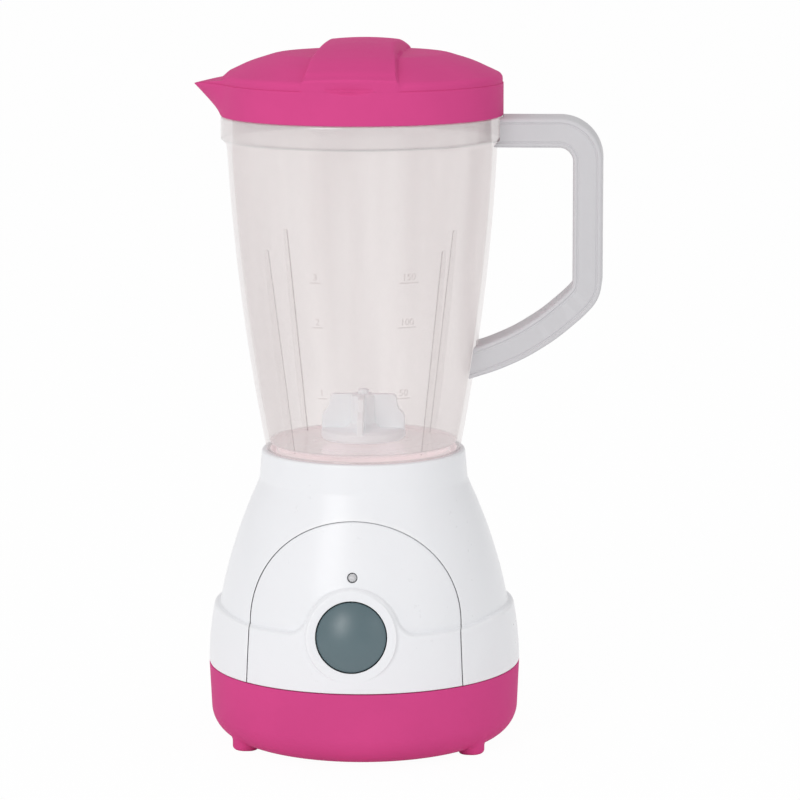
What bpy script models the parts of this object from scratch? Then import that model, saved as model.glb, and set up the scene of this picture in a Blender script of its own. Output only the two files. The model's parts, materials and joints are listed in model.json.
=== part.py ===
"""Toy blender: a lift-off jar with a toy blade on a battery base with one push button.

Metres, +Z up. The origin is on the jar's axis, at the flat underside of the base.
The front faces -Y, the handle points to +X and the lid's spout to -X.
"""

import math

import bmesh
import bpy
from mathutils import Matrix, Vector

# Fits and facets
CLEARANCE = 0.0003
RUNNING_GAP = 0.0003
SEAM_GAP = 0.0003
SEAT_GAP = 0.0002
CUT_OVERRUN = 0.002
MERGE_DISTANCE = 0.000001
LARGE_STEPS = 32
SMALL_STEPS = 20
FOOT_STEPS = 16
POST_STEPS = 10
SCREW_STEPS = 8
CURVE_STEPS = 5
FILLET_STEPS = 3

# Bottom cover
SEAM_Z = 0.0265
BASE_MARGIN = 0.00836
UNDERSIDE_INSET = 0.0117
UNDERSIDE_ROUND = 0.0110
COVER_WALL = 0.0020
COVER_FLOOR = 0.0020
TONGUE_HEIGHT = 0.0030
TONGUE_THICKNESS = 0.0012
TONGUE_ROOT = 0.0050
FOOT_PROUD = 0.0010
FOOT_RADIUS = 0.0045
FOOT_INSET = 0.0075
FOOT_ANGLE = math.radians(56.5)
FOOT_ROOT = 0.0046

# Screws that hold the bottom cover
SCREW_WELL_GAP = 0.0026
HOUSING_SCREW_Y = 0.0150
SCREW_WELL_RADIUS = 0.0045
SCREW_WELL_BORE = 0.0032
SCREW_WELL_DEPTH = 0.0110
SCREW_WEB = 0.0015
SCREW_HEAD_RADIUS = 0.0026
SCREW_HEAD_HEIGHT = 0.0020
SCREW_SHANK_RADIUS = 0.0012
SCREW_SOCKET_RADIUS = 0.0011
HOUSING_SCREW_LENGTH = 0.0100
BOSS_RADIUS = 0.0035
PILOT_RADIUS = 0.0015
PILOT_DEPTH = 0.0120

# Base housing
HOUSING_WALL = 0.0020
BAND_BULGE = 0.00145
LEDGE_Z = 0.0485
LEDGE_ROUND = 0.0018
LEDGE_CORNER_ROUND = 0.0008
LEDGE_INSET = 0.0042
NECK_TOP_Z = 0.0915
NECK_HIGH_RADIUS = 0.0377
NECK_BULGE = 0.00145
COLLAR_FOOT_Z = 0.0928
COLLAR_FOOT_RADIUS = 0.0371
COLLAR_FOOT_ROUND = 0.0060
RIM_TOP_Z = 0.1035
RIM_RADIUS = 0.0362
RIM_OUTER_ROUND = 0.0010
RIM_INNER_ROUND = 0.0004
WELL_RADIUS = 0.0337
WELL_FLOOR_Z = 0.0935
WELL_FLOOR = 0.0020
WELL_BOSS_RADIUS = 0.0065
WELL_BOSS_RISE = 0.0016
WELL_BOSS_DROP = 0.0030
WELL_KEYS = 3
WELL_KEY_WIDTH = 0.0040
WELL_KEY_TOP_Z = 0.0985

# Front panel and the hood round the button
ARCH_RADIUS = 0.0370
ARCH_CENTRE_Z = 0.0475
ARCH_FOOT_HALF = 0.0380
BUTTON_Z = 0.0462
BUTTON_TILT = math.radians(9.8)
HOOD_RADIUS = 0.0175
HOOD_LEAN = 0.0061
HOOD_SWOOP = 0.0050
HOOD_FOOT_Z = 0.0400
BEZEL_RADIUS = 0.0158
BEZEL_SET_BACK = 0.0010
BEZEL_DEPTH = 0.0040
GUIDE_WALL = 0.0018
GUIDE_DEPTH = 0.0050
LIP_THICKNESS = 0.0012
LIP_REACH = 0.0025
LIP_ROOT = 0.0030
BOARD_POST_X = 0.0155
BOARD_POST_Y = 0.0125
BOARD_POST_RADIUS = 0.0025
BOARD_POST_ROOT = 0.0065

# Push button and its switch, along the button's own axis
BUTTON_RADIUS = 0.0122
BUTTON_GAP = 0.0003
BUTTON_DOME = 0.0036
BUTTON_EDGE_DROP = 0.0004
BUTTON_WALL = 0.0018
BUTTON_FLANGE = 0.0016
BUTTON_FLANGE_THICKNESS = 0.0012
STEM_RADIUS = 0.0034
STEM_END = 0.0060
STEM_SOCKET_DEPTH = 0.0030
PLUNGER_RADIUS = 0.0016
PLUNGER_LENGTH = 0.0103
SWITCH_FACE = 0.0110
SWITCH_SIDE = 0.0084
SWITCH_BORE_DEPTH = 0.0057
BOARD_FACE = 0.0180
BOARD_THICKNESS = 0.0012
BOARD_HALF_WIDTH = 0.0200
BOARD_LOW = 0.0100
BOARD_HIGH = 0.0250
BOARD_CORNER = 0.0020
BOARD_SCREW_RADIUS = 0.0009
BOARD_SCREW_HEAD_RADIUS = 0.0019
BOARD_SCREW_HEAD_HEIGHT = 0.0014
BOARD_SCREW_LENGTH = 0.0060
BOARD_PILOT_RADIUS = 0.0012
BUTTON_SPRING_TURNS = 4
BUTTON_SPRING_RADIUS = 0.0029
BUTTON_SPRING_WIRE = 0.00025
SPRING_POINTS_A_TURN = 9

# Lamp
LAMP_HEIGHT = 0.0205
LAMP_SET_BACK = 0.0020
LAMP_RADIUS = 0.0015
LAMP_HOLE_RADIUS = 0.0018
LAMP_LENGTH = 0.0053
LAMP_FLANGE_RADIUS = 0.0019
LAMP_FLANGE = 0.0010
LAMP_TIP_PROUD = 0.0004
LAMP_LEAD_RADIUS = 0.00025
LAMP_LEAD_PITCH = 0.00127
LAMP_LEAD_THROUGH = 0.0015

# Gears, shaft and coupling
GEAR_MODULE = 0.0008
GEAR_TEETH = 38
PINION_TEETH = 10
TOOTH_ADDENDUM = 0.0007
TOOTH_DEDENDUM = 0.0010
TOOTH_SHARE = 0.40
TOOTH_ROOT_SHARE = 0.98
TOOTH_FLANK = math.radians(20.0)
GEAR_LOW_Z = 0.0705
GEAR_THICKNESS = 0.0040
GEAR_HUB_RADIUS = 0.0036
GEAR_WEB_RADIUS = 0.0120
GEAR_WEB_RECESS = 0.0012
PINION_LOW_Z = 0.0700
PINION_LENGTH = 0.0050
DRIVE_SHAFT_RADIUS = 0.0015
DRIVE_SHAFT_LOW_Z = 0.0625
DRIVE_SHAFT_TOP_Z = 0.0972
BUSH_WALL = 0.0016
BUSH_FLANGE_RADIUS = 0.0052
BUSH_FLANGE = 0.0007
LOWER_BUSH_TAIL = 0.0015
CLIP_RADIUS = 0.0036
CLIP_THICKNESS = 0.0008
CLIP_SLOT = 0.0016
COUPLING_RADIUS = 0.0095
COUPLING_DISC = 0.0016
COUPLING_HUB_RADIUS = 0.0034
DOG_COUNT = 4
DOG_WIDTH = 0.0022
DOG_INNER_RADIUS = 0.0044
DOG_OUTER_RADIUS = 0.0090
DOG_HEIGHT = 0.0034
DOG_RUNNING_GAP = 0.0005

# Motor and its bracket
BRACKET_TOP_Z = 0.0680
BRACKET_THICKNESS = 0.0020
BRACKET_HALF_WIDTH = 0.0255
BRACKET_FRONT_Y = -0.0100
BRACKET_SHOULDER_Y = 0.0060
BRACKET_REAR_Y = 0.0360
BRACKET_REAR_HALF = 0.0130
BRACKET_CORNER = 0.0040
BRACKET_POST_RADIUS = 0.0032
BRACKET_POST_X = 0.0210
BRACKET_POST_Y = -0.0050
BRACKET_REAR_POST_Y = 0.0310
BRACKET_SCREW_LENGTH = 0.0080
BRACKET_PILOT_DEPTH = 0.0110
MOTOR_RADIUS = 0.0100
MOTOR_HALF_DEPTH = 0.00755
MOTOR_CAN_LENGTH = 0.0200
MOTOR_BELL_LENGTH = 0.0050
MOTOR_NOSE_RADIUS = 0.0031
MOTOR_NOSE_HEIGHT = 0.0016
MOTOR_BORE_DEPTH = 0.0100
MOTOR_SHAFT_RADIUS = 0.0010
MOTOR_SCREW_X = 0.0080
MOTOR_SCREW_RADIUS = 0.0009
MOTOR_SCREW_LENGTH = 0.0045
MOTOR_SCREW_HOLE_DEPTH = 0.0040

# Batteries, contacts and the door
CELL_RADIUS = 0.00725
CELL_BODY_LENGTH = 0.0490
CELL_NUB_RADIUS = 0.0026
CELL_NUB_LENGTH = 0.0015
CELL_SPACING = 0.0151
CELL_EDGE_ROUND = 0.0006
CELL_END_ROOM = 0.0063
POCKET_FRONT_Y = 0.0048
POCKET_WALL = 0.0015
POCKET_HEADROOM = 0.0004
CONTACT_THICKNESS = 0.0005
CONTACT_HALF_WIDTH = 0.0050
CONTACT_LOW_Z = 0.0030
CONTACT_HIGH_Z = 0.0150
CONTACT_TAB_HALF = 0.0012
CONTACT_TAB_RISE = 0.0030
CONTACT_SPRING_HALF_TURNS = 5
CONTACT_SPRING_BASE = 0.0044
CONTACT_SPRING_TIP = 0.0030
CONTACT_SPRING_WIRE = 0.0003
DOOR_THICKNESS = 0.0018
DOOR_EAR_RADIUS = 0.0042
DOOR_EAR_REACH = 0.0042
DOOR_EAR_PAD = 0.0060
DOOR_EAR_ROOF = 0.0016
DOOR_SCREW_BOSS_RADIUS = 0.0032
DOOR_SCREW_BOSS_TOP_Z = 0.0110
DOOR_SCREW_BORE_RADIUS = 0.0017
DOOR_SCREW_LENGTH = 0.0050
DOOR_SCREW_HEAD_HEIGHT = 0.0009
DOOR_SCREW_SINK = 0.0011
DOOR_TAB_X = 0.0140
DOOR_TAB_HALF = 0.0040
DOOR_TAB_REACH = 0.0030
DOOR_TAB_THICKNESS = 0.0012
DOOR_TAB_ROOT = 0.0024
DOOR_TAB_SLOT_MARGIN = 0.0006
DOOR_TAB_SLOT_TOP_Z = 0.0062
DOOR_RIB_HALF = 0.0006
DOOR_GRIP_X = 0.0060

# Jar
JAR_WALL = 0.0016
JAR_FOOT_RADIUS = 0.0346
JAR_SHOULDER_Z = 0.2097
JAR_SHOULDER_STEP = 0.0022
JAR_BULGE = 0.00185
JAR_COLLAR_LOW_Z = 0.2143
JAR_COLLAR_TOP_Z = 0.2219
JAR_COLLAR_RADIUS = 0.0497
JAR_CHAMFER = 0.0019
JAR_RIM_STEP = 0.0025
JAR_RIM_Z = 0.2325
JAR_RIM_ROUND = 0.0006
JAR_FLOOR = 0.0015
JAR_FLOOR_ROUND = 0.0020
FOOT_RING_GAP = 0.0005
FOOT_RING_WALL = 0.0020
FOOT_RING_LOW_Z = 0.0965
KEY_SLOT_MARGIN = 0.0005
KEY_SLOT_TOP_GAP = 0.0008
FLOOR_BOSS_RADIUS = 0.0062
FLOOR_BOSS_RISE = 0.0012
JAR_RIBS = 4
JAR_RIB_TOP_Z = 0.1780
JAR_RIB_THICKNESS = 0.0012
JAR_RIB_TOP_DEPTH = 0.0010
JAR_RIB_FOOT_DEPTH = 0.0040
JAR_RIB_TOP_ROUND = 0.0007
LUG_HALF_WIDTH = 0.0040
LUG_HEIGHT = 0.0045
LUG_REACH = 0.0055
LUG_ROOT = 0.0008
LOWER_LUG_DROP = 0.0040

# Handle
HANDLE_THICKNESS = 0.0102
HANDLE_DEPTH = 0.0210
HANDLE_REACH = 0.0846
HANDLE_TOP_BEND = 0.0100
HANDLE_ELBOW_DROP = 0.0609
HANDLE_ELBOW_BEND = 0.0125
HANDLE_ARM_X = 0.0520
HANDLE_ARM_DROP = 0.0192
HANDLE_ARM_BEND = 0.0500
HANDLE_END_X = 0.0360
HANDLE_END_DROP = 0.0073
HANDLE_EDGE_ROUND = 0.0014
HANDLE_EDGE_SEGMENTS = 2
HANDLE_BEND_STEPS = 5

# Toy blade
BLADE_LOW_Z = 0.1070
BLADE_DISC_RADIUS = 0.0150
BLADE_DISC = 0.0040
BLADE_VANE_TOP_Z = 0.1230
BLADE_VANE_TOP_HALF = 0.0113
BLADE_VANE_STEP_Z = 0.1150
BLADE_VANE_SLOPE = 0.0030
BLADE_VANE_ROUND = 0.0012
BLADE_VANE_THICKNESS = 0.0022
BLADE_HUB_RADIUS = 0.0045
BLADE_POST_RADIUS = 0.0018
BLADE_POST_TOP_Z = 0.1250
BLADE_SHAFT_RADIUS = 0.0015
BLADE_SHAFT_TOP_Z = 0.1180
BLADE_SHAFT_LOW_Z = 0.0986

# Lid
LID_SKIRT_WALL = 0.0020
LID_SEAM_Z = 0.2337
LID_SEAM_STEP = 0.0003
LID_EDGE_Z = 0.2370
LID_EDGE_ROUND = 0.0020
LID_BEND_SHARE = 0.5936
LID_BEND_Z = 0.2450
LID_BEND_ROUND = 0.0100
LID_CROWN_Z = 0.2455
LID_SHELL = 0.0022
LID_PLUG_GAP = 0.0003
LID_PLUG_WALL = 0.0014
LID_PLUG_LOW_Z = 0.2240
GRIP_TOP_Z = 0.2490
GRIP_SLOPE_SHARE = 0.6036
GRIP_SLOPE_Z = 0.2474
GRIP_SLOPE_ROUND = 0.0200
GRIP_BROW_SHARE = 0.8954
GRIP_BROW_Z = 0.2440
GRIP_NOSE_Z = 0.2385
GRIP_NOSE_ROUND = 0.0050
GRIP_TOP_HALF = 0.0110
GRIP_FLARE_HALF = 0.0154
GRIP_FLARE_Z = 0.2450
GRIP_FLARE_ROUND = 0.0060
GRIP_FOOT_HALF = 0.0188
GRIP_FOOT_Z = 0.2337
SCOOP_HALF_WIDTH = 0.0093
SCOOP_HALF_HEIGHT = 0.0029
SCOOP_DEPTH = 0.0030
SCOOP_Z = 0.2366
SPOUT_PROUD = 0.0096
SPOUT_TIP_Z = 0.2329
SPOUT_TOP_Z = 0.2350
SPOUT_HALF_WIDTH = 0.0150
SPOUT_TIP_ROUND = 0.0030
SPOUT_ROOT_STEP = 0.0057
SPOUT_WALL = 0.0014

# Wires
WIRE_RADIUS = 0.0006
WIRE_HALF_PITCH = 0.0009
WIRE_REACH = 0.0120
WIRE_INNER_X = 0.0040
WIRE_OUTER_X = 0.0120
MOTOR_TERMINAL_X = 0.0050
WIRE_POINTS = 9

# Colours
PINK = (0.60, 0.062, 0.235, 1.0)
WHITE = (0.86, 0.87, 0.89, 1.0)
HANDLE_GREY = (0.60, 0.60, 0.62, 1.0)
BUTTON_GREEN = (0.125, 0.185, 0.190, 1.0)
CLEAR_TINT = (0.86, 0.82, 0.80, 0.35)
LAMP_CLEAR = (0.80, 0.80, 0.84, 0.55)
BLADE_WHITE = (0.84, 0.82, 0.81, 1.0)
STEEL = (0.62, 0.62, 0.64, 1.0)
BRASS = (0.72, 0.53, 0.24, 1.0)
NATURAL_PLASTIC = (0.78, 0.76, 0.70, 1.0)
BLACK_PLASTIC = (0.03, 0.03, 0.03, 1.0)
BOARD_GREEN = (0.05, 0.22, 0.09, 1.0)
CELL_GREY = (0.20, 0.21, 0.23, 1.0)
RED_WIRE = (0.60, 0.04, 0.03, 1.0)
BLACK_WIRE = (0.02, 0.02, 0.02, 1.0)

# Places worked out from the sizes above
JAR_SHOULDER_RADIUS = JAR_COLLAR_RADIUS - JAR_SHOULDER_STEP
JAR_RIM_RADIUS = JAR_COLLAR_RADIUS - JAR_RIM_STEP
LID_RADIUS = JAR_COLLAR_RADIUS
HANDLE_ELBOW_Z = JAR_COLLAR_TOP_Z - HANDLE_ELBOW_DROP
HANDLE_ARM_Z = HANDLE_ELBOW_Z - HANDLE_ARM_DROP
HANDLE_END_Z = HANDLE_ARM_Z - HANDLE_END_DROP
UPPER_LUG_Z = JAR_COLLAR_TOP_Z - HANDLE_THICKNESS / 2
LOWER_LUG_Z = HANDLE_ARM_Z - LOWER_LUG_DROP
LID_BEND_RADIUS = LID_RADIUS * LID_BEND_SHARE
SPOUT_REACH = LID_RADIUS + SPOUT_PROUD
HOOD_TOP_Z = BUTTON_Z + HOOD_RADIUS
HOUSING_LOW_Z = SEAM_Z + SEAM_GAP
JAR_SEAT_Z = RIM_TOP_Z + CLEARANCE
JAR_FLOOR_Z = JAR_SEAT_Z + JAR_FLOOR
FOOT_RING_RADIUS = WELL_RADIUS - FOOT_RING_GAP
MOTOR_OFFSET = GEAR_MODULE * (GEAR_TEETH + PINION_TEETH) / 2
MOTOR_TOP_Z = BRACKET_TOP_Z - BRACKET_THICKNESS - CLEARANCE
COUPLING_LOW_Z = WELL_FLOOR_Z + WELL_BOSS_RISE + RUNNING_GAP
DOG_LOW_Z = COUPLING_LOW_Z + COUPLING_DISC
DRIVEN_DISC_Z = DOG_LOW_Z + DOG_HEIGHT + DOG_RUNNING_GAP
BUSH_RADIUS = DRIVE_SHAFT_RADIUS + RUNNING_GAP + BUSH_WALL
POCKET_REAR_Y = POCKET_FRONT_Y + CELL_SPACING + 2 * CELL_RADIUS + 2 * POCKET_HEADROOM
POCKET_MID_Y = (POCKET_FRONT_Y + POCKET_REAR_Y) / 2
POCKET_HALF_LENGTH = (CELL_BODY_LENGTH + CELL_NUB_LENGTH + CELL_END_ROOM) / 2
HOUSING_SCREW_X = POCKET_HALF_LENGTH + POCKET_WALL + SCREW_WELL_RADIUS + SCREW_WELL_GAP
BASE_RADIUS = math.hypot(POCKET_HALF_LENGTH + POCKET_WALL, POCKET_REAR_Y + POCKET_WALL) + BASE_MARGIN
UNDERSIDE_RADIUS = BASE_RADIUS - UNDERSIDE_INSET
FOOT_CIRCLE = BASE_RADIUS - FOOT_INSET
NECK_LOW_RADIUS = BASE_RADIUS - LEDGE_INSET
HOOD_TOP_RADIUS = BASE_RADIUS - HOOD_LEAN
CELL_Z = DOOR_THICKNESS + CLEARANCE + CELL_RADIUS
POCKET_ROOF_Z = CELL_Z + CELL_RADIUS + POCKET_HEADROOM
CONTACT_X = POCKET_HALF_LENGTH - CLEARANCE - CONTACT_THICKNESS / 2
CELL_PLUS_X = CONTACT_X - CONTACT_THICKNESS / 2 - CLEARANCE
CONTACT_TAB_TOP_Z = POCKET_ROOF_Z + POCKET_WALL + CONTACT_TAB_RISE


def band_radius(z):
    """Radius of the plinth band, carried on up to the top of the hood."""
    share = (z - SEAM_Z) / (HOOD_TOP_Z - SEAM_Z)
    return BASE_RADIUS + (HOOD_TOP_RADIUS - BASE_RADIUS) * share + BAND_BULGE * 4 * share * (1 - share)


def neck_radius(z):
    """Radius of the housing's neck above the ledge."""
    share = (z - LEDGE_Z) / (NECK_TOP_Z - LEDGE_Z)
    return NECK_LOW_RADIUS + (NECK_HIGH_RADIUS - NECK_LOW_RADIUS) * share + NECK_BULGE * 4 * share * (1 - share)


def jar_radius(z):
    """Outer radius of the jar's tapered wall."""
    share = (z - JAR_SEAT_Z) / (JAR_SHOULDER_Z - JAR_SEAT_Z)
    return JAR_FOOT_RADIUS + (JAR_SHOULDER_RADIUS - JAR_FOOT_RADIUS) * share + JAR_BULGE * 4 * share * (1 - share)


def along(radius_at, start_z, end_z, steps, inset=0.0):
    """Profile points of a radius function from one height to another."""
    heights = [start_z + (end_z - start_z) * i / steps for i in range(steps + 1)]
    return [(radius_at(z) - inset, z) for z in heights]


def rounded(corners, steps=FILLET_STEPS, closed=True):
    """Points of an outline whose corners (a, b, radius) are rounded by arcs."""
    points = []
    count = len(corners)
    for index, corner in enumerate(corners):
        here = Vector(corner[:2])
        radius = corner[2] if len(corner) > 2 else 0.0
        at_end = not closed and index in (0, count - 1)
        if radius <= 0.0 or at_end:
            points.append(tuple(here))
            continue
        before = (Vector(corners[index - 1][:2]) - here).normalized()
        after = (Vector(corners[(index + 1) % count][:2]) - here).normalized()
        half = before.angle(after) / 2
        start = here + before * (radius / math.tan(half))
        end = here + after * (radius / math.tan(half))
        centre = here + (before + after).normalized() * (radius / math.sin(half))
        for step in range(steps + 1):
            share = step / steps
            spoke = (start - centre).slerp(end - centre, share).normalized()
            points.append(tuple(centre + spoke * radius))
    return points


def arc(centre, radius, start, end, steps):
    """Points along an arc between two angles."""
    angles = [start + (end - start) * i / steps for i in range(steps + 1)]
    return [(centre[0] + radius * math.cos(a), centre[1] + radius * math.sin(a)) for a in angles]


def clear_scene():
    """Take every object of the starting scene away."""
    for obj in list(bpy.data.objects):
        bpy.data.objects.remove(obj, do_unlink=True)


def new_collection(name):
    """Add a collection to the scene."""
    collection = bpy.data.collections.new(name)
    bpy.context.scene.collection.children.link(collection)
    return collection


def finish(name, colour, roughness, metallic=0.0):
    """A plain surface finish."""
    material = bpy.data.materials.new(name)
    material.use_nodes = True
    shader = material.node_tree.nodes["Principled BSDF"]
    shader.inputs["Base Color"].default_value = colour
    shader.inputs["Roughness"].default_value = roughness
    shader.inputs["Metallic"].default_value = metallic
    shader.inputs["Alpha"].default_value = colour[3]
    material.diffuse_color = colour
    return material


clear_scene()
PARTS = new_collection("toy_blender")
CUTTERS = new_collection("toy_blender_cutters")


def place(name, mesh, collection=None):
    """Put a mesh in the scene as a named object."""
    obj = bpy.data.objects.new(name, mesh)
    (collection or CUTTERS).objects.link(obj)
    return obj


def from_bmesh(name, shape):
    """Turn a bmesh into a tool object."""
    bmesh.ops.recalc_face_normals(shape, faces=shape.faces)
    mesh = bpy.data.meshes.new(name)
    shape.to_mesh(mesh)
    shape.free()
    return place(name, mesh)


def turned(name, profile, steps=LARGE_STEPS, closed=True):
    """A profile of (radius, height) points turned about Z by a Screw modifier."""
    mesh = bpy.data.meshes.new(name)
    points = [(radius, 0.0, z) for radius, z in profile]
    edges = [(i, i + 1) for i in range(len(points) - 1)]
    if closed:
        edges.append((len(points) - 1, 0))
    mesh.from_pydata(points, edges, [])
    obj = place(name, mesh)
    screw = obj.modifiers.new("turn", "SCREW")
    screw.axis = "Z"
    screw.angle = math.tau
    screw.steps = steps
    screw.render_steps = steps
    screw.use_merge_vertices = True
    screw.merge_threshold = MERGE_DISTANCE
    return obj


def cylinder(name, radius, low, high, steps=SMALL_STEPS, at=(0.0, 0.0), top_radius=None):
    """A round bar or a taper standing on Z between two heights."""
    shape = bmesh.new()
    bmesh.ops.create_cone(
        shape,
        cap_ends=True,
        segments=steps,
        radius1=radius,
        radius2=radius if top_radius is None else top_radius,
        depth=high - low,
        matrix=Matrix.Translation((at[0], at[1], (low + high) / 2)),
    )
    return from_bmesh(name, shape)


def block(name, low, high):
    """A box between two opposite corners."""
    shape = bmesh.new()
    size = [b - a for a, b in zip(low, high)]
    middle = [(a + b) / 2 for a, b in zip(low, high)]
    scale = Matrix.Diagonal((*size, 1.0))
    bmesh.ops.create_cube(shape, size=1.0, matrix=Matrix.Translation(middle) @ scale)
    return from_bmesh(name, shape)


def plate(name, outline, low, high, holes=()):
    """A flat outline of (x, y) points standing between two heights, as a filled curve made a mesh."""
    curve = bpy.data.curves.new(name, "CURVE")
    curve.dimensions = "2D"
    curve.fill_mode = "BOTH"
    curve.extrude = (high - low) / 2
    for points in (outline, *holes):
        spline = curve.splines.new("POLY")
        spline.points.add(len(points) - 1)
        for point, (x, y) in zip(spline.points, points):
            point.co = (x, y, 0.0, 1.0)
        spline.use_cyclic_u = True
    guide = place(name + "_outline", curve)
    bpy.context.view_layer.update()
    evaluated = guide.evaluated_get(bpy.context.evaluated_depsgraph_get())
    mesh = bpy.data.meshes.new_from_object(evaluated)
    bpy.data.objects.remove(guide, do_unlink=True)
    shape = bmesh.new()
    shape.from_mesh(mesh)
    bmesh.ops.translate(shape, verts=shape.verts, vec=(0.0, 0.0, (low + high) / 2))
    bmesh.ops.remove_doubles(shape, verts=shape.verts, dist=MERGE_DISTANCE)
    return from_bmesh(name, shape)


def upright(obj):
    """Stand a flat outline up, so that its (x, y) becomes (x, z) and its thickness runs along -Y."""
    obj.data.transform(Matrix.Rotation(math.radians(90.0), 4, "X"))
    return obj


def moved(obj, matrix):
    """Move a tool's own mesh by a matrix."""
    obj.data.transform(matrix)
    return obj


def tube(name, points, radius, resolution=1, tilt=None):
    """A round wire through points, capped at both ends."""
    curve = bpy.data.curves.new(name, "CURVE")
    curve.dimensions = "3D"
    curve.bevel_depth = radius
    curve.bevel_resolution = resolution
    curve.use_fill_caps = True
    spline = curve.splines.new("POLY")
    spline.points.add(len(points) - 1)
    for point, co in zip(spline.points, points):
        point.co = (*co, 1.0)
    obj = place(name, curve)
    if tilt is not None:
        obj.matrix_world = tilt
    return obj


def boolean(obj, tool, operation):
    """Combine an object with a tool, which stays in the cutters' collection."""
    change = obj.modifiers.new(operation.lower(), "BOOLEAN")
    change.operation = operation
    change.solver = "EXACT"
    change.object = tool
    return obj


def cut(obj, *tools):
    """Take tools away from an object."""
    for tool in tools:
        boolean(obj, tool, "DIFFERENCE")
    return obj


def join(obj, *tools):
    """Add tools to an object."""
    for tool in tools:
        boolean(obj, tool, "UNION")
    return obj


def keep(obj, tool):
    """Keep only what an object shares with a tool."""
    return boolean(obj, tool, "INTERSECT")


def as_part(obj, material, smooth=True, parent=None):
    """Make an object a finished part of the model, hung from an empty where it moves."""
    CUTTERS.objects.unlink(obj)
    PARTS.objects.link(obj)
    obj.data.materials.clear()
    obj.data.materials.append(material)
    for modifier in obj.modifiers:
        if modifier.type == "SCREW":
            modifier.use_smooth_shade = smooth
    if obj.type == "MESH" and smooth and obj.data.polygons:
        obj.data.shade_smooth()
        obj.data.set_sharp_from_angle(angle=math.radians(35.0))
    if parent is not None:
        obj.parent = parent
        obj.matrix_parent_inverse = parent.matrix_world.inverted()
    return obj


def pivot(name, matrix):
    """An empty on a joint's axis, which carries the pieces that move with it."""
    obj = bpy.data.objects.new(name, None)
    PARTS.objects.link(obj)
    obj.matrix_world = matrix
    bpy.context.view_layer.update()
    return obj


def screw(name, head_radius, head_height, shank_radius, length, matrix):
    """A pan-head screw with a round socket, its head's seat at the origin and its shank up Z."""
    profile = [
        (0.0, length),
        (shank_radius, length - shank_radius),
        (shank_radius, 0.0),
        (head_radius, 0.0),
        (head_radius, -head_height / 2),
        (head_radius - head_height / 2, -head_height),
        (SCREW_SOCKET_RADIUS, -head_height),
        (SCREW_SOCKET_RADIUS, -head_height / 2),
        (0.0, -head_height / 2),
    ]
    obj = turned(name, profile, SCREW_STEPS, closed=False)
    obj.matrix_world = matrix
    return obj


def button_frame():
    """The button's own frame: Z out along its axis, Y up the panel, origin on the bezel's face."""
    y = -(band_radius(BUTTON_Z) - BEZEL_SET_BACK)
    turn = Matrix.Rotation(math.radians(90.0) - BUTTON_TILT, 4, "X")
    return Matrix.Translation((0.0, y, BUTTON_Z)) @ turn


def housing_screw_places():
    """Where the four screws of the bottom cover stand."""
    return {
        "front_left": (-HOUSING_SCREW_X, -HOUSING_SCREW_Y),
        "front_right": (HOUSING_SCREW_X, -HOUSING_SCREW_Y),
        "rear_left": (-HOUSING_SCREW_X, HOUSING_SCREW_Y),
        "rear_right": (HOUSING_SCREW_X, HOUSING_SCREW_Y),
    }


def bracket_post_places():
    """Where the motor bracket hangs from the well's floor."""
    return {
        "left": (-BRACKET_POST_X, BRACKET_POST_Y),
        "right": (BRACKET_POST_X, BRACKET_POST_Y),
        "rear": (0.0, BRACKET_REAR_POST_Y),
    }


def arch_prism(name, offset, low_z):
    """The front panel's arch, run through the front wall."""
    foot = ARCH_FOOT_HALF + offset
    radius = ARCH_RADIUS + offset
    outline = [(-foot, low_z), (foot, low_z)]
    outline += arc((0.0, ARCH_CENTRE_Z), radius, 0.0, math.pi, CURVE_STEPS * 3)
    depth = (BASE_RADIUS + CUT_OVERRUN, BASE_RADIUS / 3)
    return upright(plate(name, outline, depth[1], depth[0]))



def skin(high_z, low_z, inset=0.0, fine=True):
    """The housing's outer surface from the neck over the ledge down to the band, or one inside it."""
    shelf = LEDGE_Z - inset
    steps = CURVE_STEPS if fine else CURVE_STEPS // 2
    neck = along(neck_radius, high_z, LEDGE_Z, steps, inset)[:-1]
    band = along(band_radius, shelf - 2 * LEDGE_ROUND, low_z, steps // 2 + 1, inset)
    inner_corner = (NECK_LOW_RADIUS - inset, shelf, LEDGE_CORNER_ROUND if fine else 0.0)
    outer_corner = (band_radius(LEDGE_Z) - inset, shelf, LEDGE_ROUND if fine else 0.0)
    return rounded(neck + [inner_corner, outer_corner] + band, steps=2, closed=False)


def shell_ring(name, low_z, high_z, outer_inset, inner_inset, fine=True):
    """The housing's wall between two heights, from one inset to another."""
    outer = skin(high_z, low_z, outer_inset, fine)
    inner = skin(high_z, low_z, inner_inset, fine=False)
    return turned(name, outer + inner[::-1])


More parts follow.
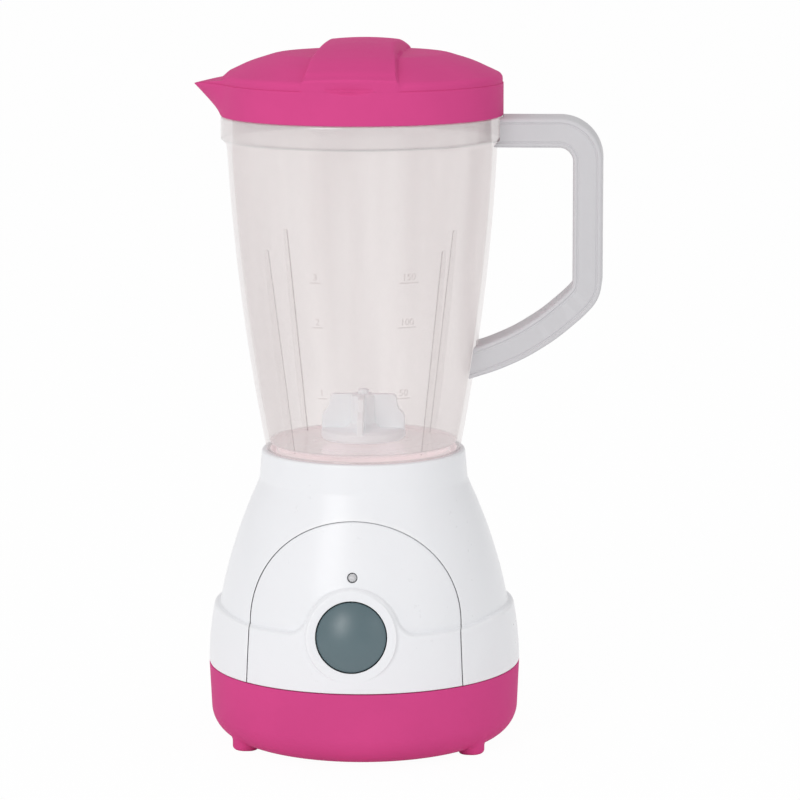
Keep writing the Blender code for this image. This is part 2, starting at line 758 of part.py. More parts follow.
def base_housing(material):
    """The white housing: rim, neck and plinth band round the jar's well, with its bosses."""
    under_well = WELL_FLOOR_Z - WELL_FLOOR
    bush_bore = BUSH_RADIUS + CLEARANCE
    boss_top = WELL_FLOOR_Z + WELL_BOSS_RISE
    boss_low = under_well - WELL_BOSS_DROP
    rim = [
        (RIM_RADIUS, RIM_TOP_Z, RIM_OUTER_ROUND),
        (COLLAR_FOOT_RADIUS, COLLAR_FOOT_Z, COLLAR_FOOT_ROUND),
        (neck_radius(NECK_TOP_Z - COLLAR_FOOT_ROUND), NECK_TOP_Z - COLLAR_FOOT_ROUND),
    ]
    well = [
        (WELL_BOSS_RADIUS, under_well),
        (WELL_BOSS_RADIUS, boss_low),
        (bush_bore, boss_low),
        (bush_bore, boss_top),
        (WELL_BOSS_RADIUS, boss_top),
        (WELL_BOSS_RADIUS, WELL_FLOOR_Z),
        (WELL_RADIUS, WELL_FLOOR_Z),
        (WELL_RADIUS, RIM_TOP_Z, RIM_INNER_ROUND),
    ]
    outer = rounded([(WELL_RADIUS, RIM_TOP_Z)] + rim, steps=2, closed=False)[1:-1]
    inside = skin(under_well, HOUSING_LOW_Z, HOUSING_WALL, fine=False)[::-1]
    skin_points = skin(NECK_TOP_Z - COLLAR_FOOT_ROUND, HOUSING_LOW_Z)
    bowl = rounded(well + [outer[0]], steps=2, closed=False)[:-1]
    obj = turned("base_housing", outer + skin_points + inside + bowl)
    cut(obj, arch_prism("arch_opening", SEAM_GAP / 2, SEAM_Z - CUT_OVERRUN))
    limit = [(0.0, NECK_TOP_Z)]
    limit += skin(NECK_TOP_Z, SEAM_Z, HOUSING_WALL / 2, fine=False)
    limit += [(BASE_RADIUS - HOUSING_WALL / 2, SCREW_WELL_DEPTH), (0.0, SCREW_WELL_DEPTH)]
    core = turned("boss_limit", limit, closed=False)
    boss_foot = SCREW_WELL_DEPTH + SCREW_WEB + CLEARANCE
    for side, at in housing_screw_places().items():
        boss = cylinder("boss_" + side, BOSS_RADIUS, boss_foot, NECK_TOP_Z, POST_STEPS, at)
        join(obj, keep(boss, core))
        bore_top = boss_foot + PILOT_DEPTH
        cut(obj, cylinder("pilot_" + side, PILOT_RADIUS, boss_foot - CUT_OVERRUN, bore_top, SCREW_STEPS, at))
    post_foot = BRACKET_TOP_Z + CLEARANCE
    for side, at in bracket_post_places().items():
        join(obj, cylinder("post_" + side, BRACKET_POST_RADIUS, post_foot, under_well + WELL_FLOOR / 2, POST_STEPS, at))
        bore_top = post_foot + BRACKET_PILOT_DEPTH
        cut(obj, cylinder("post_pilot_" + side, PILOT_RADIUS, post_foot - CUT_OVERRUN, bore_top, SCREW_STEPS, at))
    key_inside = FOOT_RING_RADIUS - FOOT_RING_WALL - KEY_SLOT_MARGIN
    for index in range(WELL_KEYS):
        key = block(
            f"well_key_{index}",
            (key_inside, -WELL_KEY_WIDTH / 2, WELL_FLOOR_Z - WELL_FLOOR / 2),
            (WELL_RADIUS + HOUSING_WALL / 2, WELL_KEY_WIDTH / 2, WELL_KEY_TOP_Z),
        )
        join(obj, moved(key, Matrix.Rotation(math.tau * (index + 0.5) / WELL_KEYS, 4, "Z")))
    return as_part(obj, material)


def swoop_outline():
    """The hood's outline: a round top that runs into the ledge through two hollow sweeps."""
    reach = HOOD_RADIUS + HOOD_SWOOP
    sweep_z = LEDGE_Z + HOOD_SWOOP
    sweep_x = math.sqrt(reach ** 2 - (sweep_z - BUTTON_Z) ** 2)
    touch = math.atan2(sweep_z - BUTTON_Z, sweep_x)
    right = arc((sweep_x, sweep_z), HOOD_SWOOP, -math.pi / 2, touch - math.pi, CURVE_STEPS)
    top = arc((0.0, BUTTON_Z), HOOD_RADIUS, touch, math.pi - touch, CURVE_STEPS * 3)
    left = [(-x, z) for x, z in reversed(right)]
    return [(-sweep_x, HOOD_FOOT_Z), (sweep_x, HOOD_FOOT_Z)] + right + top[1:-1] + left


def hood():
    """The raised hood round the button, which carries the band's surface upwards."""
    high = HOOD_TOP_Z + CUT_OVERRUN
    low = HOOD_FOOT_Z - CUT_OVERRUN
    half_wall = HOUSING_WALL / 2
    inside = [(band_radius(low) - half_wall, low)]
    inside += [(band_radius(LEDGE_Z) - half_wall, LEDGE_Z - half_wall)]
    inside += along(neck_radius, LEDGE_Z - half_wall, high, CURVE_STEPS // 2, half_wall)
    ring = turned("hood", along(band_radius, high, low, CURVE_STEPS) + inside)
    outline = plate("hood_outline", swoop_outline(), BASE_RADIUS / 2, BASE_RADIUS + CUT_OVERRUN)
    return keep(ring, upright(outline))


def lip():
    """The panel's rebate lip, which lies behind the housing's edge all round the arch."""
    low = SEAM_Z + TONGUE_HEIGHT + CLEARANCE
    behind = HOUSING_WALL + CLEARANCE
    ring = shell_ring("lip", HOUSING_LOW_Z, NECK_TOP_Z, behind, behind + LIP_THICKNESS, fine=False)
    keep(ring, arch_prism("lip_outside", LIP_REACH, low))
    cut(ring, arch_prism("lip_inside", -LIP_ROOT, low - CUT_OVERRUN))
    bridge = shell_ring("lip_root", HOUSING_LOW_Z, NECK_TOP_Z, HOUSING_WALL / 2, behind + LIP_THICKNESS / 2, fine=False)
    keep(bridge, arch_prism("lip_root_outside", -SEAM_GAP, low + SEAM_GAP))
    cut(bridge, arch_prism("lip_root_inside", SEAM_GAP - LIP_ROOT, low - CUT_OVERRUN))
    return join(ring, bridge)


def front_panel(material, frame):
    """The white arch panel with its hood, bezel, button guide, lamp hole and board posts."""
    obj = shell_ring("front_panel", HOUSING_LOW_Z, NECK_TOP_Z, 0.0, HOUSING_WALL)
    join(obj, hood())
    keep(obj, arch_prism("panel_outline", -SEAM_GAP / 2, SEAM_Z - CUT_OVERRUN))
    join(obj, moved(cylinder("bezel", BEZEL_RADIUS, -BEZEL_DEPTH, 0.0, SMALL_STEPS), frame))
    cut(obj, moved(cylinder("bezel_face", BEZEL_RADIUS, 0.0, BEZEL_DEPTH, SMALL_STEPS), frame))
    join(obj, lip())
    guide_radius = BUTTON_RADIUS + BUTTON_GAP
    guide = cylinder("guide", guide_radius + GUIDE_WALL, -GUIDE_DEPTH, -BEZEL_SET_BACK, SMALL_STEPS)
    join(obj, moved(guide, frame))
    bore = cylinder("guide_bore", guide_radius, -GUIDE_DEPTH - CUT_OVERRUN, CUT_OVERRUN, SMALL_STEPS)
    room_radius = BUTTON_RADIUS + BUTTON_FLANGE + CLEARANCE
    room = cylinder("flange_room", room_radius, -BOARD_FACE, -GUIDE_DEPTH, SMALL_STEPS)
    cut(obj, moved(bore, frame), moved(room, frame))
    foot = CLEARANCE - BOARD_FACE
    for side, x in (("left", -BOARD_POST_X), ("right", BOARD_POST_X)):
        at = (x, BOARD_POST_Y)
        post = cylinder("board_post_" + side, BOARD_POST_RADIUS, foot, -BOARD_POST_ROOT, POST_STEPS, at)
        join(obj, moved(post, frame))
        bore_end = foot + BOARD_SCREW_LENGTH
        pilot = cylinder("board_pilot_" + side, BOARD_PILOT_RADIUS, foot - CUT_OVERRUN, bore_end, SCREW_STEPS, at)
        cut(obj, moved(pilot, frame))
    hole = cylinder("lamp_hole", LAMP_HOLE_RADIUS, -2 * BEZEL_DEPTH, BEZEL_DEPTH, POST_STEPS, (0.0, LAMP_HEIGHT))
    cut(obj, moved(hole, frame))
    return as_part(obj, material)


def bottom_cover(material):
    """The pink tray with moulded feet, battery pocket, screw wells and the tongue round its edge."""
    tongue_outer = band_radius(SEAM_Z + TONGUE_HEIGHT) - HOUSING_WALL - CLEARANCE
    tongue_inner = tongue_outer - TONGUE_THICKNESS
    centre = (UNDERSIDE_RADIUS, UNDERSIDE_ROUND)
    profile = [(0.0, COVER_FLOOR)]
    profile += arc(centre, UNDERSIDE_ROUND - COVER_WALL, -math.pi / 2, 0.0, CURVE_STEPS // 2)
    profile += [
        (tongue_inner, SEAM_Z - TONGUE_ROOT),
        (tongue_inner, SEAM_Z + TONGUE_HEIGHT),
        (tongue_outer, SEAM_Z + TONGUE_HEIGHT),
        (tongue_outer, SEAM_Z),
        (BASE_RADIUS, SEAM_Z),
    ]
    profile += arc(centre, UNDERSIDE_ROUND, 0.0, -math.pi / 2, CURVE_STEPS)
    profile += [(0.0, 0.0)]
    obj = turned("bottom_cover", profile, closed=False)
    foot_x = FOOT_CIRCLE * math.sin(FOOT_ANGLE)
    foot_y = FOOT_CIRCLE * math.cos(FOOT_ANGLE)
    for x in (-foot_x, foot_x):
        for y in (-foot_y, foot_y):
            join(obj, cylinder("foot", FOOT_RADIUS, -FOOT_PROUD, FOOT_ROOT, FOOT_STEPS, (x, y)))
    well_top = SCREW_WELL_DEPTH + SCREW_WEB
    for side, at in housing_screw_places().items():
        join(obj, cylinder("screw_well_" + side, SCREW_WELL_RADIUS, COVER_FLOOR / 2, well_top, POST_STEPS, at))
        sink = cylinder("screw_sink_" + side, SCREW_WELL_BORE, -CUT_OVERRUN, SCREW_WELL_DEPTH, POST_STEPS, at)
        hole = cylinder("screw_hole_" + side, PILOT_RADIUS, 0.0, well_top + CUT_OVERRUN, SCREW_STEPS, at)
        cut(obj, sink, hole)
    add_battery_pocket(obj)
    return as_part(obj, material)


def add_battery_pocket(obj):
    """The pocket for two cells in the cover, with the door's seat, slots and screw boss."""
    ear_y = POCKET_REAR_Y + DOOR_EAR_REACH
    recess_top = DOOR_THICKNESS + CLEARANCE
    pad_top = recess_top + DOOR_EAR_ROOF
    join(obj, cylinder("ear_pad", DOOR_EAR_PAD, COVER_FLOOR / 2, pad_top, SMALL_STEPS, (0.0, ear_y)))
    boss = cylinder("ear_boss", DOOR_SCREW_BOSS_RADIUS, COVER_FLOOR, DOOR_SCREW_BOSS_TOP_Z, POST_STEPS, (0.0, ear_y))
    join(obj, boss)
    outside = block(
        "pocket_outside",
        (-POCKET_HALF_LENGTH - POCKET_WALL, POCKET_FRONT_Y - POCKET_WALL, COVER_FLOOR / 2),
        (POCKET_HALF_LENGTH + POCKET_WALL, POCKET_REAR_Y + POCKET_WALL, POCKET_ROOF_Z + POCKET_WALL),
    )
    inside = block(
        "pocket_inside",
        (-POCKET_HALF_LENGTH, POCKET_FRONT_Y, -CUT_OVERRUN),
        (POCKET_HALF_LENGTH, POCKET_REAR_Y, POCKET_ROOF_Z),
    )
    join(obj, outside)
    cut(obj, inside)
    ear_half = DOOR_EAR_RADIUS + CLEARANCE
    cut(obj, block("ear_gap", (-ear_half, POCKET_MID_Y, -CUT_OVERRUN), (ear_half, ear_y, recess_top)))
    cut(obj, cylinder("ear_recess", ear_half, -CUT_OVERRUN, recess_top, SMALL_STEPS, (0.0, ear_y)))
    bore_top = recess_top + DOOR_SCREW_LENGTH
    cut(obj, cylinder("ear_bore", DOOR_SCREW_BORE_RADIUS, 0.0, bore_top, SCREW_STEPS, (0.0, ear_y)))
    slot_half = DOOR_TAB_HALF + DOOR_TAB_SLOT_MARGIN
    for x in (-DOOR_TAB_X, DOOR_TAB_X):
        low = (x - slot_half, POCKET_FRONT_Y - POCKET_WALL - CUT_OVERRUN, COVER_FLOOR)
        high = (x + slot_half, POCKET_MID_Y, DOOR_TAB_SLOT_TOP_Z)
        cut(obj, block("tab_slot", low, high))
    slot = CONTACT_TAB_HALF + CLEARANCE
    for x in (-CONTACT_X, CONTACT_X):
        for y in contact_tab_places(x):
            low = (x - CONTACT_THICKNESS / 2 - CLEARANCE, y - slot, POCKET_ROOF_Z - CUT_OVERRUN)
            high = (x + CONTACT_THICKNESS / 2 + CLEARANCE, y + slot, POCKET_ROOF_Z + POCKET_WALL + CUT_OVERRUN)
            cut(obj, block("contact_slot", low, high))


def cell_places():
    """The two cells' heights above the hinge side: front one first."""
    front = POCKET_FRONT_Y + POCKET_HEADROOM + CELL_RADIUS
    return front, front + CELL_SPACING


def contact_tab_places(x):
    """Where the contacts' solder tabs come up through the pocket's roof at one end."""
    return (POCKET_MID_Y,) if x < 0.0 else cell_places()


def battery_door(material):
    """The door: a plate flush with the underside, two front tabs on risers and a screwed ear behind."""
    ear_y = POCKET_REAR_Y + DOOR_EAR_REACH
    half = POCKET_HALF_LENGTH - CLEARANCE
    front = POCKET_FRONT_Y + CLEARANCE
    rear = POCKET_REAR_Y - CLEARANCE
    obj = block("battery_door", (-half, front, 0.0), (half, rear, DOOR_THICKNESS))
    join(obj, block("door_ear_root", (-DOOR_EAR_RADIUS, POCKET_MID_Y, 0.0), (DOOR_EAR_RADIUS, ear_y, DOOR_THICKNESS)))
    join(obj, cylinder("door_ear", DOOR_EAR_RADIUS, 0.0, DOOR_THICKNESS, SMALL_STEPS, (0.0, ear_y)))
    tab_low = COVER_FLOOR + CLEARANCE
    tab_high = tab_low + DOOR_TAB_THICKNESS
    for x in (-DOOR_TAB_X, DOOR_TAB_X):
        sides = (x - DOOR_TAB_HALF, x + DOOR_TAB_HALF)
        tab = block(
            "door_tab",
            (sides[0], POCKET_FRONT_Y - DOOR_TAB_REACH, tab_low),
            (sides[1], front + DOOR_TAB_ROOT, tab_high),
        )
        riser = block(
            "door_riser",
            (sides[0], front, DOOR_THICKNESS / 2),
            (sides[1], front + DOOR_TAB_ROOT, tab_high - DOOR_TAB_THICKNESS / 2),
        )
        join(obj, tab, riser)
    grip_low = DOOR_THICKNESS / 3
    for index in range(-1, 2):
        y = POCKET_REAR_Y - DOOR_GRIP_X + index * 4 * DOOR_RIB_HALF
        low = (-DOOR_GRIP_X, y - DOOR_RIB_HALF, -CUT_OVERRUN)
        cut(obj, block("door_grip", low, (DOOR_GRIP_X, y + DOOR_RIB_HALF, grip_low)))
    at = (0.0, ear_y)
    sink_radius = SCREW_HEAD_RADIUS + CLEARANCE
    cut(obj, cylinder("door_sink", sink_radius, -CUT_OVERRUN, DOOR_SCREW_SINK, POST_STEPS, at))
    cut(obj, cylinder("door_hole", PILOT_RADIUS, 0.0, DOOR_THICKNESS + CUT_OVERRUN, SCREW_STEPS, at))
    return as_part(obj, material)


def spiral(base_radius, tip_radius, height, turns, base):
    """Points of a coil that climbs Z from a base height, measured and reported by its least gap."""
    count = int(turns * SPRING_POINTS_A_TURN)
    points = []
    for index in range(count + 1):
        share = index / count
        angle = math.tau * turns * share
        radius = base_radius + (tip_radius - base_radius) * share
        points.append((radius * math.cos(angle), radius * math.sin(angle), base + height * share))
    return points


def report_gap(name, points, wire_radius):
    """Print the least gap between neighbouring turns of a coil, in millimetres."""
    skip = SPRING_POINTS_A_TURN // 2
    pairs = [
        (Vector(a) - Vector(b)).length
        for i, a in enumerate(points)
        for b in points[i + skip:]
    ]
    print(name, "least gap between turns", round((min(pairs) - 2 * wire_radius) * 1000, 3), "mm")


def button_pieces(cap_material, body_material, steel, frame):
    """The cap, its plunger and spring, which move along the button's axis, and the switch behind."""
    mover = pivot("button_axis", frame)
    flange = BUTTON_RADIUS + BUTTON_FLANGE
    flange_top = -GUIDE_DEPTH - CLEARANCE
    flange_low = flange_top - BUTTON_FLANGE_THICKNESS
    sag = BUTTON_DOME + BUTTON_EDGE_DROP
    sphere = (BUTTON_RADIUS ** 2 + sag ** 2) / (2 * sag)
    edge = math.asin(BUTTON_RADIUS / sphere)
    centre = (0.0, BUTTON_DOME - sphere)
    outer = arc(centre, sphere, math.pi / 2, math.pi / 2 - edge, CURVE_STEPS)
    inner_radius = BUTTON_RADIUS - BUTTON_WALL
    inner_angle = math.asin(inner_radius / (sphere - BUTTON_WALL))
    stem_angle = math.asin(STEM_RADIUS / (sphere - BUTTON_WALL))
    inner = arc(centre, sphere - BUTTON_WALL, math.pi / 2 - inner_angle, math.pi / 2 - stem_angle, 2)
    profile = outer + [
        (BUTTON_RADIUS, flange_top),
        (flange, flange_top),
        (flange, flange_low),
        (inner_radius, flange_low),
        *inner,
        (STEM_RADIUS, -STEM_END),
        (PLUNGER_RADIUS + CLEARANCE, -STEM_END),
        (PLUNGER_RADIUS + CLEARANCE, -STEM_SOCKET_DEPTH),
        (0.0, -STEM_SOCKET_DEPTH),
    ]
    cap = turned("button_cap", profile, SMALL_STEPS, closed=False)
    cap.matrix_world = frame
    as_part(cap, cap_material, parent=mover)
    plunger_top = -STEM_SOCKET_DEPTH - CLEARANCE
    plunger = cylinder("switch_plunger", PLUNGER_RADIUS, plunger_top - PLUNGER_LENGTH, plunger_top, POST_STEPS)
    as_part(moved(plunger, frame), body_material, parent=mover)
    wire = BUTTON_SPRING_WIRE
    low = -SWITCH_FACE + CLEARANCE + wire
    high = -STEM_END - CLEARANCE - wire
    coil = spiral(BUTTON_SPRING_RADIUS, BUTTON_SPRING_RADIUS, high - low, BUTTON_SPRING_TURNS, low)
    report_gap("button_spring", coil, wire)
    as_part(tube("button_spring", coil, wire, tilt=frame), steel, parent=mover)
    half = SWITCH_SIDE / 2
    back = CLEARANCE - BOARD_FACE
    switch = block("switch_body", (-half, -half, back), (half, half, -SWITCH_FACE))
    bore_end = -SWITCH_FACE - SWITCH_BORE_DEPTH
    cut(switch, cylinder("switch_bore", PLUNGER_RADIUS + CLEARANCE, bore_end, 0.0, POST_STEPS))
    switch.matrix_world = frame
    for modifier in switch.modifiers:
        modifier.object.matrix_world = frame
    as_part(switch, body_material, smooth=False)


def board_pieces(board_material, steel, frame):
    """The circuit board behind the button, cut for the lamp's leads and held by two screws."""
    half = BOARD_HALF_WIDTH
    corners = [(-half, -BOARD_LOW), (half, -BOARD_LOW), (half, BOARD_HIGH), (-half, BOARD_HIGH)]
    outline = rounded([(x, y, BOARD_CORNER) for x, y in corners])
    back = -BOARD_FACE - BOARD_THICKNESS
    board = plate("circuit_board", outline, back, -BOARD_FACE)
    for x in (-BOARD_POST_X, BOARD_POST_X):
        hole = cylinder("board_hole", BOARD_PILOT_RADIUS, back - CUT_OVERRUN, 0.0, SCREW_STEPS, (x, BOARD_POST_Y))
        cut(board, hole)
    for x in (-LAMP_LEAD_PITCH, LAMP_LEAD_PITCH):
        radius = LAMP_LEAD_RADIUS + CLEARANCE
        cut(board, cylinder("lead_hole", radius, back - CUT_OVERRUN, 0.0, SCREW_STEPS, (x, LAMP_HEIGHT)))
    board.matrix_world = frame
    for modifier in board.modifiers:
        modifier.object.matrix_world = frame
    as_part(board, board_material, smooth=False)
    flip = Matrix.Translation((0.0, 0.0, back - SEAT_GAP))
    for side, x in (("left", -BOARD_POST_X), ("right", BOARD_POST_X)):
        place_at = frame @ Matrix.Translation((x, BOARD_POST_Y, 0.0)) @ flip
        sizes = (BOARD_SCREW_HEAD_RADIUS, BOARD_SCREW_HEAD_HEIGHT, BOARD_SCREW_RADIUS, BOARD_SCREW_LENGTH)
        as_part(screw("board_screw_" + side, *sizes, place_at), steel)


def lamp_pieces(lamp_material, steel, frame):
    """The small lamp above the hood with its two leads to the board."""
    tip = LAMP_TIP_PROUD - LAMP_SET_BACK
    foot = tip - LAMP_LENGTH
    profile = [(0.0, tip)]
    profile += arc((0.0, tip - LAMP_RADIUS), LAMP_RADIUS, math.pi / 3, 0.0, 2)
    profile += [
        (LAMP_RADIUS, foot + LAMP_FLANGE),
        (LAMP_FLANGE_RADIUS, foot + LAMP_FLANGE),
        (LAMP_FLANGE_RADIUS, foot),
        (0.0, foot),
    ]
    at = frame @ Matrix.Translation((0.0, LAMP_HEIGHT, 0.0))
    lamp = turned("led", profile, POST_STEPS, closed=False)
    lamp.matrix_world = at
    as_part(lamp, lamp_material)
    low = -BOARD_FACE - BOARD_THICKNESS - LAMP_LEAD_THROUGH
    for side, x in (("left", -LAMP_LEAD_PITCH), ("right", LAMP_LEAD_PITCH)):
        lead = cylinder("lamp_lead_" + side, LAMP_LEAD_RADIUS, low, foot - CLEARANCE, SCREW_STEPS // 2, (x, 0.0))
        as_part(moved(lead, at), steel)


def toothed_outline(teeth, phase):
    """The outline of a spur gear whose first tooth points along the phase angle."""
    pitch_radius = GEAR_MODULE * teeth / 2
    tip = pitch_radius + TOOTH_ADDENDUM
    root = pitch_radius - TOOTH_DEDENDUM
    half_tooth = TOOTH_SHARE * math.pi * GEAR_MODULE / 2
    widest = math.pi / teeth * TOOTH_ROOT_SHARE
    root_half = min((half_tooth + (pitch_radius - root) * math.tan(TOOTH_FLANK)) / pitch_radius, widest)
    tip_half = (half_tooth - (tip - pitch_radius) * math.tan(TOOTH_FLANK)) / pitch_radius
    points = []
    for index in range(teeth):
        middle = phase + math.tau * index / teeth
        for radius, turn in ((root, -root_half), (tip, -tip_half), (tip, tip_half), (root, root_half)):
            points.append((radius * math.cos(middle + turn), radius * math.sin(middle + turn)))
    return points


def bush(name, material, flange_low, flange_high, barrel_end, bore):
    """A flanged bush: the flange between two heights and a barrel that reaches past it."""
    high = max(flange_high, barrel_end)
    low = min(flange_low, barrel_end)
    flange = (BUSH_FLANGE_RADIUS, flange_high), (BUSH_FLANGE_RADIUS, flange_low)
    if barrel_end > flange_high:
        outer = [(BUSH_RADIUS, high), (BUSH_RADIUS, flange_high), *flange]
    else:
        outer = [*flange, (BUSH_RADIUS, flange_low), (BUSH_RADIUS, low)]
    return as_part(turned(name, outer + [(bore, low), (bore, high)], POST_STEPS), material)


def dogs(obj, low, high, turn):
    """Add the four dogs of a coupling between two heights."""
    for index in range(DOG_COUNT):
        dog = block(
            f"{obj.name}_dog_{index}",
            (DOG_INNER_RADIUS, -DOG_WIDTH / 2, low),
            (DOG_OUTER_RADIUS, DOG_WIDTH / 2, high),
        )
        join(obj, moved(dog, Matrix.Rotation(turn + math.tau * index / DOG_COUNT, 4, "Z")))
    return obj


def drive_pieces(plastic, steel, brass):
    """The gear, shaft, coupling and clip that turn together, and the bushes that carry them."""
    spindle = pivot("drive_axis", Matrix.Translation((0.0, 0.0, GEAR_LOW_Z)))
    bore = DRIVE_SHAFT_RADIUS + RUNNING_GAP
    grip = DRIVE_SHAFT_RADIUS + CLEARANCE
    upper_flange = WELL_FLOOR_Z - WELL_FLOOR - WELL_BOSS_DROP - CLEARANCE
    upper_top = WELL_FLOOR_Z + WELL_BOSS_RISE - CLEARANCE
    bush("upper_bush", brass, upper_flange - BUSH_FLANGE, upper_flange, upper_top, bore)
    lower_flange = BRACKET_TOP_Z + CLEARANCE
    lower_end = BRACKET_TOP_Z - BRACKET_THICKNESS - LOWER_BUSH_TAIL
    bush("lower_bush", brass, lower_flange, lower_flange + BUSH_FLANGE, lower_end, bore)
    shaft = cylinder("drive_shaft", DRIVE_SHAFT_RADIUS, DRIVE_SHAFT_LOW_Z, DRIVE_SHAFT_TOP_Z, POST_STEPS)
    as_part(shaft, steel, parent=spindle)
    gear_top = GEAR_LOW_Z + GEAR_THICKNESS
    gear = plate("drive_gear", toothed_outline(GEAR_TEETH, math.pi / 2), GEAR_LOW_Z, gear_top)
    hub_low = lower_flange + BUSH_FLANGE + RUNNING_GAP
    hub_high = upper_flange - BUSH_FLANGE - RUNNING_GAP
    web_low = gear_top - GEAR_WEB_RECESS
    cut(gear, cylinder("gear_web", GEAR_WEB_RADIUS, web_low, gear_top + CUT_OVERRUN, SMALL_STEPS))
    join(gear, cylinder("gear_hub", GEAR_HUB_RADIUS, hub_low, hub_high, POST_STEPS))
    cut(gear, cylinder("gear_bore", grip, hub_low - CUT_OVERRUN, hub_high + CUT_OVERRUN, POST_STEPS))
    as_part(gear, plastic, parent=spindle)
    clip_top = lower_end - RUNNING_GAP
    clip = cylinder("shaft_clip", CLIP_RADIUS, clip_top - CLIP_THICKNESS, clip_top, SMALL_STEPS)
    cut(clip, cylinder("clip_bore", grip, clip_top - 2 * CLIP_THICKNESS, clip_top + CUT_OVERRUN, POST_STEPS))
    mouth_low = (0.0, -CLIP_SLOT / 2, clip_top - 2 * CLIP_THICKNESS)
    cut(clip, block("clip_mouth", mouth_low, (2 * CLIP_RADIUS, CLIP_SLOT / 2, clip_top + CUT_OVERRUN)))
    as_part(clip, steel, parent=spindle)
    coupling = cylinder("drive_coupling", COUPLING_RADIUS, COUPLING_LOW_Z, DOG_LOW_Z, SMALL_STEPS)
    dogs(coupling, DOG_LOW_Z - COUPLING_DISC / 2, DOG_LOW_Z + DOG_HEIGHT, 0.0)
    hub_top = DRIVE_SHAFT_TOP_Z + CLEARANCE
    join(coupling, cylinder("coupling_hub", COUPLING_HUB_RADIUS, COUPLING_LOW_Z, hub_top, SMALL_STEPS))
    cut(coupling, cylinder("coupling_bore", grip, GEAR_LOW_Z, hub_top + CUT_OVERRUN, POST_STEPS))
    as_part(coupling, plastic, parent=spindle)


def motor_outline(radius):
    """A round motor's section with its two flats, facing -Y and +Y."""
    flat = math.asin(MOTOR_HALF_DEPTH / radius)
    centre = (0.0, MOTOR_OFFSET)
    right = arc(centre, radius, -flat, flat, CURVE_STEPS)
    left = arc(centre, radius, math.pi - flat, math.pi + flat, CURVE_STEPS)
    return right + left


def motor_pieces(can_material, bell_material, plastic, steel):
    """The motor that hangs under its bracket, its pinion on the shaft and its two screws."""
    low = MOTOR_TOP_Z - MOTOR_CAN_LENGTH
    at = (0.0, MOTOR_OFFSET)
    can = plate("motor_can", motor_outline(MOTOR_RADIUS), low, MOTOR_TOP_Z)
    nose_top = MOTOR_TOP_Z + MOTOR_NOSE_HEIGHT
    nose = cylinder("motor_nose", MOTOR_NOSE_RADIUS, MOTOR_TOP_Z - MOTOR_NOSE_HEIGHT, nose_top, POST_STEPS, at)
    join(can, nose)
    bore_foot = nose_top - MOTOR_BORE_DEPTH
    shaft_bore = MOTOR_SHAFT_RADIUS + RUNNING_GAP
    cut(can, cylinder("motor_bore", shaft_bore, bore_foot, nose_top + CUT_OVERRUN, POST_STEPS, at))
    head_seat = BRACKET_TOP_Z + SEAT_GAP
    for side, x in (("left", -MOTOR_SCREW_X), ("right", MOTOR_SCREW_X)):
        radius = MOTOR_SCREW_RADIUS + CLEARANCE
        foot = MOTOR_TOP_Z - MOTOR_SCREW_HOLE_DEPTH
        hole = cylinder("motor_hole_" + side, radius, foot, MOTOR_TOP_Z + CUT_OVERRUN, SCREW_STEPS, (x, MOTOR_OFFSET))
        cut(can, hole)
        turn = Matrix.Translation((x, MOTOR_OFFSET, head_seat)) @ Matrix.Rotation(math.pi, 4, "X")
        sizes = (BOARD_SCREW_HEAD_RADIUS, BOARD_SCREW_HEAD_HEIGHT, MOTOR_SCREW_RADIUS, MOTOR_SCREW_LENGTH)
        as_part(screw("motor_screw_" + side, *sizes, turn), steel)
    as_part(can, can_material)
    bell_top = low - CLEARANCE
    bell = plate("motor_end_bell", motor_outline(MOTOR_RADIUS - CLEARANCE), bell_top - MOTOR_BELL_LENGTH, bell_top)
    as_part(bell, bell_material)
    spindle = pivot("pinion_axis", Matrix.Translation((0.0, MOTOR_OFFSET, PINION_LOW_Z)))
    pinion_top = PINION_LOW_Z + PINION_LENGTH
    shaft_low = bore_foot + CLEARANCE
    shaft = cylinder("motor_shaft", MOTOR_SHAFT_RADIUS, shaft_low, pinion_top + CLEARANCE, POST_STEPS, at)
    as_part(shaft, steel, parent=spindle)
    phase = -math.pi / 2 + math.pi / PINION_TEETH
    pinion = plate("motor_pinion", toothed_outline(PINION_TEETH, phase), PINION_LOW_Z, pinion_top)
    moved(pinion, Matrix.Translation((0.0, MOTOR_OFFSET, 0.0)))
    grip = MOTOR_SHAFT_RADIUS + CLEARANCE
    cut(pinion, cylinder("pinion_bore", grip, shaft_low, pinion_top + CUT_OVERRUN, SCREW_STEPS, at))
    as_part(pinion, plastic, parent=spindle)


